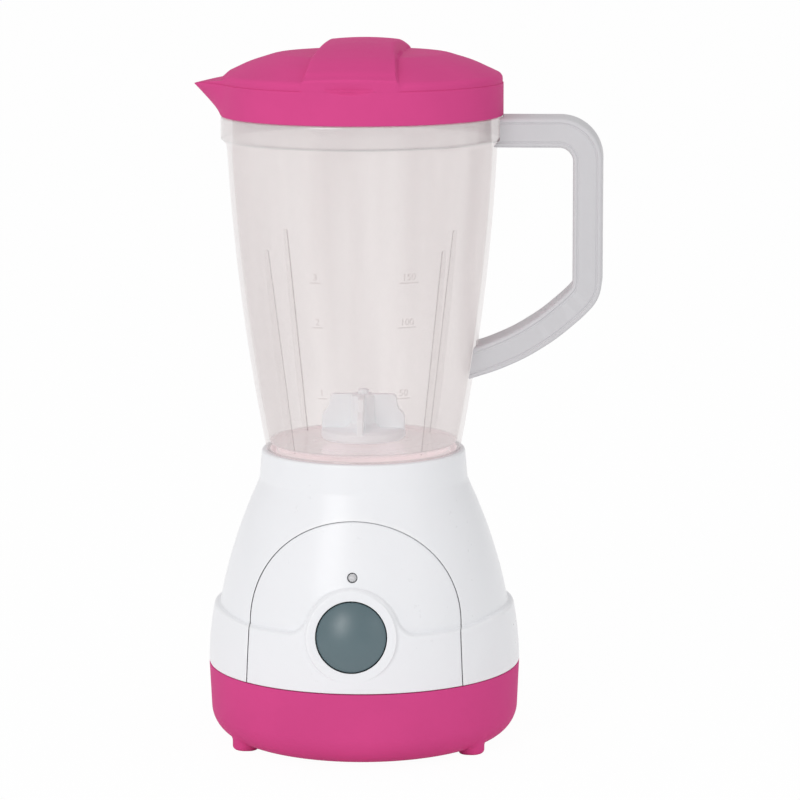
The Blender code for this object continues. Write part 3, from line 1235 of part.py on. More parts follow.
def motor_bracket(plastic, steel):
    """The plate under the well that holds the motor and the drive shaft's lower bush."""
    low = BRACKET_TOP_Z - BRACKET_THICKNESS
    corners = [
        (-BRACKET_HALF_WIDTH, BRACKET_FRONT_Y),
        (BRACKET_HALF_WIDTH, BRACKET_FRONT_Y),
        (BRACKET_HALF_WIDTH, BRACKET_SHOULDER_Y),
        (BRACKET_REAR_HALF, BRACKET_REAR_Y),
        (-BRACKET_REAR_HALF, BRACKET_REAR_Y),
        (-BRACKET_HALF_WIDTH, BRACKET_SHOULDER_Y),
    ]
    outline = rounded([(x, y, BRACKET_CORNER) for x, y in corners])
    obj = plate("motor_bracket", outline, low, BRACKET_TOP_Z)
    holes = [
        ("bush_hole", BUSH_RADIUS + CLEARANCE, (0.0, 0.0)),
        ("nose_hole", MOTOR_NOSE_RADIUS + CLEARANCE, (0.0, MOTOR_OFFSET)),
        ("motor_screw_hole", MOTOR_SCREW_RADIUS + CLEARANCE, (-MOTOR_SCREW_X, MOTOR_OFFSET)),
        ("motor_screw_hole", MOTOR_SCREW_RADIUS + CLEARANCE, (MOTOR_SCREW_X, MOTOR_OFFSET)),
    ]
    holes += [("bracket_hole", SCREW_SHANK_RADIUS + CLEARANCE, at) for at in bracket_post_places().values()]
    for name, radius, at in holes:
        cut(obj, cylinder(name, radius, low - CUT_OVERRUN, BRACKET_TOP_Z + CUT_OVERRUN, POST_STEPS, at))
    as_part(obj, plastic)
    for side, at in bracket_post_places().items():
        sizes = (SCREW_HEAD_RADIUS, SCREW_HEAD_HEIGHT, SCREW_SHANK_RADIUS, BRACKET_SCREW_LENGTH)
        as_part(screw("bracket_screw_" + side, *sizes, Matrix.Translation((*at, low - SEAT_GAP))), steel)


def battery_pieces(cell_material, steel):
    """Two cells laid head to tail, with the contact plates and springs at their ends."""
    total = CELL_BODY_LENGTH + CELL_NUB_LENGTH
    profile = rounded(
        [
            (0.0, total),
            (CELL_NUB_RADIUS, total),
            (CELL_NUB_RADIUS, CELL_BODY_LENGTH),
            (CELL_RADIUS, CELL_BODY_LENGTH, CELL_EDGE_ROUND),
            (CELL_RADIUS, 0.0, CELL_EDGE_ROUND),
            (0.0, 0.0),
        ],
        steps=1,
        closed=False,
    )
    front_y, rear_y = cell_places()
    plate_inner = CONTACT_X - CONTACT_THICKNESS / 2
    wire = CONTACT_SPRING_WIRE
    low = CLEARANCE + wire
    high = plate_inner - (total - CELL_PLUS_X) - CLEARANCE - wire
    coil = spiral(CONTACT_SPRING_BASE, CONTACT_SPRING_TIP, high - low, CONTACT_SPRING_HALF_TURNS / 2, low)
    report_gap("contact_spring", coil, wire)
    for side, y, sign in (("front", front_y, 1), ("rear", rear_y, -1)):
        turn = Matrix.Rotation(sign * math.pi / 2, 4, "Y")
        cell = turned("cell_" + side, profile, SMALL_STEPS, closed=False)
        cell.matrix_world = Matrix.Translation((sign * (CELL_PLUS_X - total), y, CELL_Z)) @ turn
        as_part(cell, cell_material)
        seat = Matrix.Translation((-sign * plate_inner, y, CELL_Z)) @ turn
        as_part(tube("contact_spring_" + side, coil, wire, tilt=seat), steel)
    half = CONTACT_HALF_WIDTH
    plates = [
        ("contact_bridge", -CONTACT_X, front_y - half, rear_y + half),
        ("contact_positive", CONTACT_X, front_y - half, front_y + half),
        ("contact_negative", CONTACT_X, rear_y - half, rear_y + half),
    ]
    for name, x, y_low, y_high in plates:
        x_low = x - CONTACT_THICKNESS / 2
        x_high = x + CONTACT_THICKNESS / 2
        obj = block(name, (x_low, y_low, CONTACT_LOW_Z), (x_high, y_high, CONTACT_HIGH_Z))
        middle = (y_low + y_high) / 2
        tab_low = (x_low, middle - CONTACT_TAB_HALF, CONTACT_HIGH_Z - CONTACT_TAB_HALF)
        join(obj, block(name + "_tab", tab_low, (x_high, middle + CONTACT_TAB_HALF, CONTACT_TAB_TOP_Z)))
        as_part(obj, steel, smooth=False)


def bezier(start, leave, arrive, end, count):
    """Points of a wire that leaves one end along one direction and reaches the other along another."""
    points = []
    for index in range(count + 1):
        t = index / count
        a = start * (1 - t) ** 3 + leave * 3 * t * (1 - t) ** 2
        b = arrive * 3 * t ** 2 * (1 - t) + end * t ** 3
        points.append(tuple(a + b))
    return points


def wires(red, black, frame):
    """The four wires between the contacts, the board and the motor."""
    front_y, rear_y = cell_places()
    up = Vector((0.0, 0.0, WIRE_REACH))
    back = frame.to_3x3() @ Vector((0.0, 0.0, -WIRE_REACH))
    board_z = -BOARD_FACE - BOARD_THICKNESS - CLEARANCE
    tab_z = CONTACT_TAB_TOP_Z + CLEARANCE
    bell_low = MOTOR_TOP_Z - MOTOR_CAN_LENGTH - 2 * CLEARANCE - MOTOR_BELL_LENGTH
    plus = Vector((CONTACT_X, front_y, tab_z))
    minus_out = Vector((CONTACT_X, rear_y + WIRE_HALF_PITCH, tab_z))
    minus_in = Vector((CONTACT_X, rear_y - WIRE_HALF_PITCH, tab_z))
    motor_left = Vector((-MOTOR_TERMINAL_X, MOTOR_OFFSET, bell_low))
    motor_right = Vector((MOTOR_TERMINAL_X, MOTOR_OFFSET, bell_low))
    board = {x: frame @ Vector((x, 0.0, board_z)) for x in (WIRE_OUTER_X, WIRE_INNER_X, -WIRE_OUTER_X)}
    runs = [
        ("wire_positive", plus, up, board[WIRE_OUTER_X], back, red),
        ("wire_ground", minus_in, up, board[WIRE_INNER_X], back, black),
        ("wire_motor", board[-WIRE_OUTER_X], back, motor_left, -up, red),
        ("wire_return", motor_right, -up, minus_out, up, black),
    ]
    for name, start, leaves, end, arrives, material in runs:
        points = bezier(start, start + leaves, end + arrives, end, WIRE_POINTS)
        as_part(tube(name, points, WIRE_RADIUS), material)


def jar_skin(offset=0.0):
    """The jar's outside from its collar down to its seat, or a surface outside it."""
    collar = JAR_COLLAR_RADIUS + offset
    points = [
        (collar, JAR_COLLAR_LOW_Z),
        (collar - JAR_CHAMFER, JAR_COLLAR_LOW_Z - JAR_CHAMFER),
    ]
    return points + along(jar_radius, JAR_SHOULDER_Z, JAR_SEAT_Z, 2 * CURVE_STEPS, -offset)


def jar(material):
    """The clear jar: collar, tapered wall with four ribs, floor, foot ring and the handle's lugs."""
    mover = pivot("jar_axis", Matrix.Translation((0.0, 0.0, JAR_SEAT_Z)))
    ring_in = FOOT_RING_RADIUS - FOOT_RING_WALL
    bush_bore = BUSH_RADIUS + CLEARANCE
    boss_top = JAR_FLOOR_Z + FLOOR_BOSS_RISE
    rim_in = JAR_RIM_RADIUS - JAR_WALL
    rim = [
        (rim_in, JAR_RIM_Z, JAR_RIM_ROUND),
        (JAR_RIM_RADIUS, JAR_RIM_Z, JAR_RIM_ROUND),
        (JAR_RIM_RADIUS, JAR_COLLAR_TOP_Z),
        (JAR_COLLAR_RADIUS, JAR_COLLAR_TOP_Z, JAR_RIM_ROUND),
    ]
    foot = [
        (FOOT_RING_RADIUS, JAR_SEAT_Z),
        (FOOT_RING_RADIUS, FOOT_RING_LOW_Z),
        (ring_in, FOOT_RING_LOW_Z),
        (ring_in, JAR_SEAT_Z),
        (bush_bore, JAR_SEAT_Z),
        (bush_bore, boss_top),
        (FLOOR_BOSS_RADIUS, boss_top),
        (FLOOR_BOSS_RADIUS, JAR_FLOOR_Z),
        (jar_radius(JAR_FLOOR_Z) - JAR_WALL, JAR_FLOOR_Z, JAR_FLOOR_ROUND),
    ]
    inside = along(jar_radius, JAR_FLOOR_Z + 2 * JAR_FLOOR_ROUND, JAR_SHOULDER_Z, CURVE_STEPS, JAR_WALL)
    inside += [(rim_in, JAR_COLLAR_LOW_Z)]
    corners = rim + jar_skin() + foot + inside
    obj = turned("jar", rounded(corners, steps=2))
    for index in range(JAR_RIBS):
        join(obj, jar_rib(index))
    for index in range(WELL_KEYS):
        half = WELL_KEY_WIDTH / 2 + KEY_SLOT_MARGIN
        low = (ring_in - CUT_OVERRUN, -half, FOOT_RING_LOW_Z - CUT_OVERRUN)
        slot = block("key_slot", low, (FOOT_RING_RADIUS + CUT_OVERRUN, half, WELL_KEY_TOP_Z + KEY_SLOT_TOP_GAP))
        cut(obj, moved(slot, Matrix.Rotation(math.tau * (index + 0.5) / WELL_KEYS, 4, "Z")))
    for name, radius, z in handle_lugs():
        low = (radius - LUG_ROOT, -LUG_HALF_WIDTH, z - LUG_HEIGHT / 2)
        join(obj, block(name, low, (radius + LUG_REACH, LUG_HALF_WIDTH, z + LUG_HEIGHT / 2)))
    as_part(obj, material, parent=mover)
    return mover


def jar_rib(index):
    """One upright rib inside the jar, deepest at its foot."""
    outer = along(jar_radius, JAR_RIB_TOP_Z, JAR_FLOOR_Z - JAR_FLOOR / 2, CURVE_STEPS // 2, JAR_WALL / 2)
    foot_r = jar_radius(JAR_FLOOR_Z) - JAR_WALL - JAR_RIB_FOOT_DEPTH
    top_r = jar_radius(JAR_RIB_TOP_Z) - JAR_WALL - JAR_RIB_TOP_DEPTH
    corners = outer + [(foot_r, JAR_FLOOR_Z - JAR_FLOOR / 2), (top_r, JAR_RIB_TOP_Z, JAR_RIB_TOP_ROUND)]
    half = JAR_RIB_THICKNESS / 2
    rib = upright(plate(f"jar_rib_{index}", rounded(corners, steps=2), -half, half))
    return moved(rib, Matrix.Rotation(math.tau * (index + 0.5) / JAR_RIBS, 4, "Z"))


def handle_lugs():
    """The two lugs that carry the handle: name, radius of the wall they stand on, height."""
    return [
        ("upper_lug", JAR_COLLAR_RADIUS, UPPER_LUG_Z),
        ("lower_lug", jar_radius(LOWER_LUG_Z), LOWER_LUG_Z),
    ]


def ribbon(points, half):
    """The closed outline of a band of even width along a line of points."""
    left, right = [], []
    for index, point in enumerate(points):
        here = Vector(point)
        before = here - Vector(points[max(index - 1, 0)])
        after = Vector(points[min(index + 1, len(points) - 1)]) - here
        run = (before.normalized() + after.normalized()).normalized()
        bend = max(run.dot(after.normalized()), run.dot(before.normalized()))
        side = Vector((-run.y, run.x)) * (half / bend)
        left.append(tuple(here + side))
        right.append(tuple(here - side))
    return right + left[::-1]


def handle(material, mover):
    """The handle: a flat bow that runs from the collar down to the lower wall, on two lugs."""
    half = HANDLE_THICKNESS / 2
    upright_x = HANDLE_REACH - half
    arm_z = JAR_COLLAR_TOP_Z - half
    line = rounded(
        [
            (JAR_RIM_RADIUS - half, arm_z),
            (upright_x, arm_z, HANDLE_TOP_BEND),
            (upright_x, HANDLE_ELBOW_Z, HANDLE_ELBOW_BEND),
            (HANDLE_ARM_X, HANDLE_ARM_Z, HANDLE_ARM_BEND),
            (HANDLE_END_X, HANDLE_END_Z),
        ],
        steps=HANDLE_BEND_STEPS,
        closed=False,
    )
    obj = upright(plate("handle", ribbon(line, half), -HANDLE_DEPTH / 2, HANDLE_DEPTH / 2))
    bevel = obj.modifiers.new("edges", "BEVEL")
    bevel.width = HANDLE_EDGE_ROUND
    bevel.segments = HANDLE_EDGE_SEGMENTS
    bevel.limit_method = "ANGLE"
    bevel.angle_limit = math.radians(50.0)
    past = JAR_COLLAR_TOP_Z + HANDLE_THICKNESS
    skin_points = jar_skin(CLEARANCE)
    outside = [(0.0, past), (skin_points[0][0], past)] + skin_points + [(0.0, JAR_SEAT_Z)]
    cut(obj, turned("jar_outside", outside, closed=False))
    for name, radius, z in handle_lugs():
        rise = LUG_HEIGHT / 2 + CLEARANCE
        width = LUG_HALF_WIDTH + CLEARANCE
        low = (radius - HANDLE_THICKNESS, -width, z - rise)
        cut(obj, block(name + "_socket", low, (radius + LUG_REACH + CLEARANCE, width, z + rise)))
    return as_part(obj, material, parent=mover)


def blade_pieces(white, plastic, steel, brass, mover):
    """The toy blade on its shaft in the jar, the bush in the jar's floor and the driven coupling."""
    bore = BLADE_SHAFT_RADIUS + RUNNING_GAP
    grip = BLADE_SHAFT_RADIUS + CLEARANCE
    flange_high = JAR_SEAT_Z - CLEARANCE
    bush_obj = bush("blade_bush", brass, flange_high - BUSH_FLANGE, flange_high, BLADE_LOW_Z - RUNNING_GAP, bore)
    bush_obj.parent = mover
    bush_obj.matrix_parent_inverse = mover.matrix_world.inverted()
    spindle = pivot("blade_axis", Matrix.Translation((0.0, 0.0, BLADE_LOW_Z)))
    shaft = cylinder("blade_shaft", BLADE_SHAFT_RADIUS, BLADE_SHAFT_LOW_Z, BLADE_SHAFT_TOP_Z, POST_STEPS)
    as_part(shaft, steel, parent=spindle)
    disc_top = DRIVEN_DISC_Z + COUPLING_DISC
    hub_low = BLADE_SHAFT_LOW_Z - CLEARANCE
    driven = cylinder("blade_coupling", COUPLING_RADIUS, DRIVEN_DISC_Z, disc_top, SMALL_STEPS)
    dogs(driven, DRIVEN_DISC_Z - DOG_HEIGHT, DRIVEN_DISC_Z + COUPLING_DISC / 2, math.pi / DOG_COUNT)
    join(driven, cylinder("driven_hub", COUPLING_HUB_RADIUS, hub_low, disc_top, SMALL_STEPS))
    cut(driven, cylinder("driven_bore", grip, hub_low - CUT_OVERRUN, disc_top + CUT_OVERRUN, POST_STEPS))
    as_part(driven, plastic, parent=spindle)
    disc_high = BLADE_LOW_Z + BLADE_DISC
    rotor = cylinder("blade_rotor", BLADE_DISC_RADIUS, BLADE_LOW_Z, disc_high, SMALL_STEPS)
    join(rotor, cylinder("blade_hub", BLADE_HUB_RADIUS, BLADE_LOW_Z, BLADE_VANE_TOP_Z, SMALL_STEPS))
    slope_z = BLADE_VANE_STEP_Z + BLADE_VANE_SLOPE
    side = [
        (BLADE_DISC_RADIUS - BLADE_VANE_ROUND, disc_high - BLADE_DISC / 2),
        (BLADE_DISC_RADIUS - BLADE_VANE_ROUND, BLADE_VANE_STEP_Z, BLADE_VANE_ROUND),
        (BLADE_VANE_TOP_HALF, slope_z, BLADE_VANE_ROUND),
        (BLADE_VANE_TOP_HALF, BLADE_VANE_TOP_Z, BLADE_VANE_ROUND),
    ]
    outline = side + [(-corner[0], *corner[1:]) for corner in reversed(side)]
    half = BLADE_VANE_THICKNESS / 2
    for index in range(2):
        vane = upright(plate(f"blade_vane_{index}", rounded(outline, steps=2), -half, half))
        join(rotor, moved(vane, Matrix.Rotation(index * math.pi / 2, 4, "Z")))
    join(rotor, cylinder("blade_post", BLADE_POST_RADIUS, disc_high, BLADE_POST_TOP_Z, POST_STEPS))
    bore_top = BLADE_SHAFT_TOP_Z + CLEARANCE
    cut(rotor, cylinder("blade_bore", grip, BLADE_LOW_Z - CUT_OVERRUN, bore_top, POST_STEPS))
    as_part(rotor, white, parent=spindle)


def lid_roof(drop, start, end):
    """Corners of the lid's dome between the axis and its edge, lowered by a drop."""
    slope = (LID_EDGE_Z - LID_BEND_Z) / (LID_RADIUS - LID_BEND_RADIUS)
    corners = [(0.0, LID_CROWN_Z - drop), (LID_BEND_RADIUS, LID_BEND_Z - drop, LID_BEND_ROUND)]
    corners.append((end, LID_BEND_Z - drop + slope * (end - LID_BEND_RADIUS)))
    return corners[start:]


def spout(name, inset, root_top):
    """The pouring spout's form: a side view cut by a pointed plan, shrunk by an inset."""
    root = LID_RADIUS - SPOUT_ROOT_STEP
    step = inset * 2
    tip = (-SPOUT_REACH + step, SPOUT_TIP_Z - inset / 2)
    side = [
        (-root, root_top),
        (-LID_RADIUS, SPOUT_TOP_Z - inset),
        tip,
        (-LID_RADIUS + inset, JAR_COLLAR_TOP_Z + SEAM_GAP + inset),
        (-root, JAR_COLLAR_TOP_Z + SEAM_GAP + inset),
    ]
    half = SPOUT_HALF_WIDTH - inset
    root_x = math.sqrt(LID_RADIUS ** 2 - SPOUT_HALF_WIDTH ** 2)
    reach = SPOUT_REACH + CUT_OVERRUN - step
    plan = [(-reach, 0.0, SPOUT_TIP_ROUND), (-root_x, -half), (-root, -half), (-root, half), (-root_x, half)]
    form = upright(plate(name, side, -SPOUT_HALF_WIDTH, SPOUT_HALF_WIDTH))
    return keep(form, plate(name + "_plan", rounded(plan), JAR_COLLAR_LOW_Z, GRIP_TOP_Z))


def grip_ridge():
    """The ridge over the dome, which runs down to the seam in front and behind."""
    crown = rounded(
        [
            (0.0, GRIP_TOP_Z),
            (LID_RADIUS * GRIP_SLOPE_SHARE, GRIP_SLOPE_Z, GRIP_SLOPE_ROUND),
            (LID_RADIUS * GRIP_BROW_SHARE, GRIP_BROW_Z, GRIP_NOSE_ROUND),
            (LID_RADIUS, GRIP_NOSE_Z, GRIP_NOSE_ROUND),
            (LID_RADIUS, GRIP_FOOT_Z),
        ],
        closed=False,
    )
    half_shell = LID_SHELL / 2
    inside = [(LID_RADIUS - LID_SKIRT_WALL / 2, GRIP_FOOT_Z)]
    inside += lid_roof(half_shell, 0, LID_RADIUS - LID_SKIRT_WALL / 2)[::-1]
    ridge = turned("grip_ridge", crown + rounded(inside, closed=False), closed=False)
    above = GRIP_TOP_Z + CUT_OVERRUN
    side = [
        (GRIP_FOOT_HALF, GRIP_FOOT_Z - CUT_OVERRUN),
        (GRIP_FOOT_HALF, GRIP_FOOT_Z),
        (GRIP_FLARE_HALF, GRIP_FLARE_Z, GRIP_FLARE_ROUND),
        (GRIP_TOP_HALF, above),
    ]
    outline = side + [(-corner[0], *corner[1:]) for corner in reversed(side)]
    reach = LID_RADIUS + CUT_OVERRUN
    return keep(ridge, upright(plate("grip_outline", rounded(outline), -reach, reach)))


def lid(material):
    """The pink lid: skirt, dome, plug ring, grip ridge with its thumb scoop, and the spout."""
    mover = pivot("lid_axis", Matrix.Translation((0.0, 0.0, JAR_COLLAR_TOP_Z)))
    upper = LID_RADIUS - LID_SEAM_STEP
    skirt_in = LID_RADIUS - LID_SKIRT_WALL
    plug_out = JAR_RIM_RADIUS - JAR_WALL - LID_PLUG_GAP
    plug_in = plug_out - LID_PLUG_WALL
    low = JAR_COLLAR_TOP_Z + SEAM_GAP
    seat = JAR_RIM_Z + CLEARANCE
    corners = lid_roof(0.0, 0, upper)
    corners[-1] = (*corners[-1], LID_EDGE_ROUND)
    corners += [
        (upper, LID_SEAM_Z),
        (LID_RADIUS, LID_SEAM_Z),
        (LID_RADIUS, low),
        (skirt_in, low),
        (skirt_in, seat),
        (plug_out, seat),
        (plug_out, LID_PLUG_LOW_Z),
        (plug_in, LID_PLUG_LOW_Z),
    ]
    corners += [corner[:2] for corner in lid_roof(LID_SHELL, 0, plug_in)[::-1]]
    obj = turned("lid", rounded(corners, closed=False), closed=False)
    join(obj, grip_ridge())
    pourer = spout("spout", 0.0, SPOUT_TOP_Z)
    cut(pourer, cylinder("spout_root", LID_RADIUS - LID_SKIRT_WALL / 2, low - CUT_OVERRUN, LID_SEAM_Z, LARGE_STEPS))
    join(obj, pourer)
    hollow = spout("spout_hollow", SPOUT_WALL, LID_SEAM_Z + LID_SEAM_STEP)
    gap_radius = (plug_out + skirt_in) / 2
    cut(hollow, cylinder("spout_inside", gap_radius, low - CUT_OVERRUN, LID_CROWN_Z, LARGE_STEPS))
    cut(obj, hollow)
    ball = bmesh.new()
    size = Matrix.Diagonal((SCOOP_HALF_WIDTH, SCOOP_DEPTH, SCOOP_HALF_HEIGHT, 1.0))
    at = Matrix.Translation((0.0, -LID_RADIUS, SCOOP_Z))
    bmesh.ops.create_uvsphere(ball, u_segments=SMALL_STEPS, v_segments=POST_STEPS, radius=1.0, matrix=at @ size)
    cut(obj, from_bmesh("scoop", ball))
    as_part(obj, material, parent=mover)


def cover_screws(steel):
    """The four screws that hold the bottom cover to the housing."""
    sizes = (SCREW_HEAD_RADIUS, SCREW_HEAD_HEIGHT, SCREW_SHANK_RADIUS, HOUSING_SCREW_LENGTH)
    for side, at in housing_screw_places().items():
        seat = Matrix.Translation((*at, SCREW_WELL_DEPTH - SEAT_GAP))
        as_part(screw("housing_screw_" + side, *sizes, seat), steel)


def door_pieces(pink, steel):
    """The battery door and its captive screw, which swing about the door's front edge."""
    hinge = pivot("door_hinge", Matrix.Translation((0.0, POCKET_FRONT_Y + CLEARANCE / 2, 0.0)))
    door = battery_door(pink)
    door.parent = hinge
    door.matrix_parent_inverse = hinge.matrix_world.inverted()
    sizes = (SCREW_HEAD_RADIUS, DOOR_SCREW_HEAD_HEIGHT, SCREW_SHANK_RADIUS, DOOR_SCREW_LENGTH)
    seat = Matrix.Translation((0.0, POCKET_REAR_Y + DOOR_EAR_REACH, DOOR_SCREW_SINK - SEAT_GAP))
    as_part(screw("door_screw", *sizes, seat), steel, parent=hinge)


def main():
    """Model the whole toy blender."""
    pink = finish("pink plastic", PINK, 0.30)
    white = finish("white plastic", WHITE, 0.32)
    grey = finish("grey plastic", HANDLE_GREY, 0.42)
    green = finish("button plastic", BUTTON_GREEN, 0.28)
    clear = finish("clear plastic", CLEAR_TINT, 0.06)
    lamp = finish("lamp plastic", LAMP_CLEAR, 0.10)
    blade_white = finish("blade plastic", BLADE_WHITE, 0.38)
    steel = finish("steel", STEEL, 0.28, 1.0)
    brass = finish("brass", BRASS, 0.30, 1.0)
    natural = finish("natural plastic", NATURAL_PLASTIC, 0.45)
    black = finish("black plastic", BLACK_PLASTIC, 0.40)
    board = finish("circuit board", BOARD_GREEN, 0.35)
    cell = finish("cell jacket", CELL_GREY, 0.30)
    red_wire = finish("red wire", RED_WIRE, 0.40)
    black_wire = finish("black wire", BLACK_WIRE, 0.40)
    frame = button_frame()
    base_housing(white)
    front_panel(white, frame)
    bottom_cover(pink)
    cover_screws(steel)
    door_pieces(pink, steel)
    button_pieces(green, black, steel, frame)
    board_pieces(board, steel, frame)
    lamp_pieces(lamp, steel, frame)
    drive_pieces(natural, steel, brass)
    motor_pieces(steel, black, natural, steel)
    motor_bracket(natural, steel)
    battery_pieces(cell, steel)
    wires(red_wire, black_wire, frame)
    mover = jar(clear)
    handle(grey, mover)
    blade_pieces(blade_white, natural, steel, brass, mover)
    lid(pink)
    for tool in CUTTERS.objects:
        tool.hide_render = True
        tool.display_type = "WIRE"


main()
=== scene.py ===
"""Toy blender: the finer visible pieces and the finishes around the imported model.

Metres, +Z up. The front faces -Y, the handle points to +X and the lid's spout to -X.
"""

import json
import logging
import math
from dataclasses import dataclass, field
from enum import Enum
from typing import Callable, Iterable, Mapping, Optional, Sequence, Union

import bmesh
import bpy
import numpy as np
from mathutils import Matrix, Vector
from mathutils.geometry import delaunay_2d_cdt

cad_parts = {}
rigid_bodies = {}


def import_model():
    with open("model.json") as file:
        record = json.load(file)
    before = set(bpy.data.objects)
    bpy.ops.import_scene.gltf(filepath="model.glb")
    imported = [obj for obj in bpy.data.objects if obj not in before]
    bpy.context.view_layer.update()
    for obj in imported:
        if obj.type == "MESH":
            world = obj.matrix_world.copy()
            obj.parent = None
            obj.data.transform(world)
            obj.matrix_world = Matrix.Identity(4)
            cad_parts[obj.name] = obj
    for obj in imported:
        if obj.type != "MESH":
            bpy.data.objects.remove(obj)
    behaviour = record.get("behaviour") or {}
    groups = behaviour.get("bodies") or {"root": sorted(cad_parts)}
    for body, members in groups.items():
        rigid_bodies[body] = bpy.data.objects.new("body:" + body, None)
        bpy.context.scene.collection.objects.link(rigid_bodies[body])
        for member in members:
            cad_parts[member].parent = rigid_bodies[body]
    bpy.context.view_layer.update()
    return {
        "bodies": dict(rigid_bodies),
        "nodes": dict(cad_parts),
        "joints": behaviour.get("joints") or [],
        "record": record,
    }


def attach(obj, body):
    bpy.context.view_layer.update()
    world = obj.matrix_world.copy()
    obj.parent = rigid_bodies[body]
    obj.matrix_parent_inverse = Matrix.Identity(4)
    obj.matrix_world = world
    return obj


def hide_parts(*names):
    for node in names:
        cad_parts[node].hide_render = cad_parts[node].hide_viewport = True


LOG = logging.getLogger("toy_blender")
MERGE = 0.000002
KEY_TURNS = (60.0, 180.0, 300.0)
FRONT = 270.0

Number = Union[float, "Socket"]
Colour = tuple[float, float, float]
Corner = Sequence[float]
Outline = list[tuple[float, float]]
Span = tuple[float, float, float]
Warp = Callable[[np.ndarray, np.ndarray, np.ndarray], tuple[np.ndarray, np.ndarray, np.ndarray]]


class Body(str, Enum):
    """The bodies that pieces ride on."""

    ROOT = "root"
    BUTTON = "button"
    DOOR = "door"
    JAR = "jar"
    BLADE = "blade"
    LID = "lid"


class Socket:
    """A value in a material, whose operators add Math nodes."""

    def __init__(self, graph: "Graph", output: bpy.types.NodeSocket) -> None:
        """Wrap a node's output."""
        self.graph = graph
        self.output = output

    def _combine(self, operation: str, first: Number, second: Number) -> "Socket":
        """Add a Math node."""
        return self.graph.get("ShaderNodeMath", {"operation": operation}, {0: first, 1: second})

    def __add__(self, other: Number) -> "Socket":
        """Add a number or another value."""
        return self._combine("ADD", self, other)

    def __radd__(self, other: float) -> "Socket":
        """Add this value to a number."""
        return self._combine("ADD", other, self)

    def __sub__(self, other: Number) -> "Socket":
        """Take a number or another value away."""
        return self._combine("SUBTRACT", self, other)

    def __mul__(self, other: Number) -> "Socket":
        """Multiply by a number or another value."""
        return self._combine("MULTIPLY", self, other)

    def __pow__(self, other: Number) -> "Socket":
        """Raise to a power."""
        return self._combine("POWER", self, other)

    def ramp(self, low: float, high: float, start: float = 0.0, end: float = 1.0) -> "Socket":
        """Run smoothly from one value to another.

        Args:
            low: Where the run starts.
            high: Where it ends.
            start: The value before it.
            end: The value after it.

        Returns:
            The result.
        """
        limits = {"From Min": low, "From Max": high, "To Min": start, "To Max": end}
        kind = {"interpolation_type": "SMOOTHSTEP"}
        return self.graph.get("ShaderNodeMapRange", kind, {"Value": self, **limits})


class Graph:
    """A material's node tree and the few ways in which nodes are added to it."""

    def __init__(self, name: str) -> None:
        """Start a material.

        Args:
            name: Its name.
        """
        self.material = bpy.data.materials.new(name)
        self.material.use_nodes = True
        self.tree = self.material.node_tree
        self.shader = self.tree.nodes["Principled BSDF"]
        self.surface = self.tree.nodes["Material Output"].inputs["Surface"]

    def feed(self, target: bpy.types.NodeSocket, value: object) -> None:
        """Link a value to an input, or set the input to it.

        Args:
            target: The input.
            value: A socket, a number or a tuple.
        """
        if isinstance(value, Socket):
            self.tree.links.new(value.output, target)
        elif isinstance(value, bpy.types.NodeSocket):
            self.tree.links.new(value, target)
        elif isinstance(value, tuple) and target.type == "RGBA":
            target.default_value = (*value[:3], 1.0)
        else:
            target.default_value = value

    def add(self, kind: str, settings: Mapping[str, object], inputs: Mapping[object, object]) -> bpy.types.Node:
        """Add any node.

        Args:
            kind: The node's type.
            settings: Its settings, made before its inputs.
            inputs: Values or links by input name or number.

        Returns:
            The node.
        """
        node = self.tree.nodes.new(kind)
        for key, value in settings.items():
            setattr(node, key, value)
        for key, value in inputs.items():
            self.feed(node.inputs[key], value)
        return node

    def get(
        self,
        kind: str,
        settings: Optional[Mapping[str, object]] = None,
        inputs: Optional[Mapping[object, object]] = None,
        output: object = 0,
    ) -> Socket:
        """Add any node and take one of its outputs."""
        return Socket(self, self.add(kind, settings or {}, inputs or {}).outputs[output])

    def set(self, **inputs: object) -> None:
        """Feed the Principled shader."""
        for key, value in inputs.items():
            self.feed(self.shader.inputs[key.replace("_", " ")], value)

    def place(self) -> Socket:
        """Where a point lies on its piece, in metres."""
        return self.get("ShaderNodeTexCoord", output="Object")

    def axes(self) -> tuple[Socket, Socket, Socket]:
        """The three parts of a point's place."""
        node = self.add("ShaderNodeSeparateXYZ", {}, {0: self.place()})
        return Socket(self, node.outputs[0]), Socket(self, node.outputs[1]), Socket(self, node.outputs[2])

    def noise(self, size: float, detail: float = 2.0, stretch: Colour = (1.0, 1.0, 1.0)) -> Socket:
        """Even noise around one half."""
        scaled = self.get("ShaderNodeVectorMath", {"operation": "MULTIPLY"}, {0: self.place(), 1: stretch})
        return self.get("ShaderNodeTexNoise", {}, {"Vector": scaled, "Scale": 1.0 / size, "Detail": detail})

    def mix(self, factor: Number, first: object, second: object) -> Socket:
        """Mix two colours."""
        return self.get("ShaderNodeMix", {"data_type": "RGBA"}, {0: factor, 6: first, 7: second}, 2)

    def bump(self, height: Socket, distance: float) -> None:
        """Raise the surface by a height map from 0 to 1, where 1 stands for a distance in metres."""
        values = {"Height": height, "Distance": distance, "Strength": 1.0}
        self.set(Normal=self.get("ShaderNodeBump", {}, values))

    def edges(self) -> Socket:
        """1 where the surface turns outwards on an edge, 0 elsewhere."""
        return self.get("ShaderNodeNewGeometry", output="Pointiness").ramp(0.51, 0.53)


def from_screen(red: int, green: int, blue: int) -> Colour:
    """Turn a screen colour into the linear one that materials take."""
    shares = (red / 255, green / 255, blue / 255)
    return tuple(v / 12.92 if v <= 0.04045 else ((v + 0.055) / 1.055) ** 2.4 for v in shares)


def shaded(colour: Colour, amount: float) -> Colour:
    """Scale a colour's brightness."""
    return tuple(min(1.0, v * amount) for v in colour)


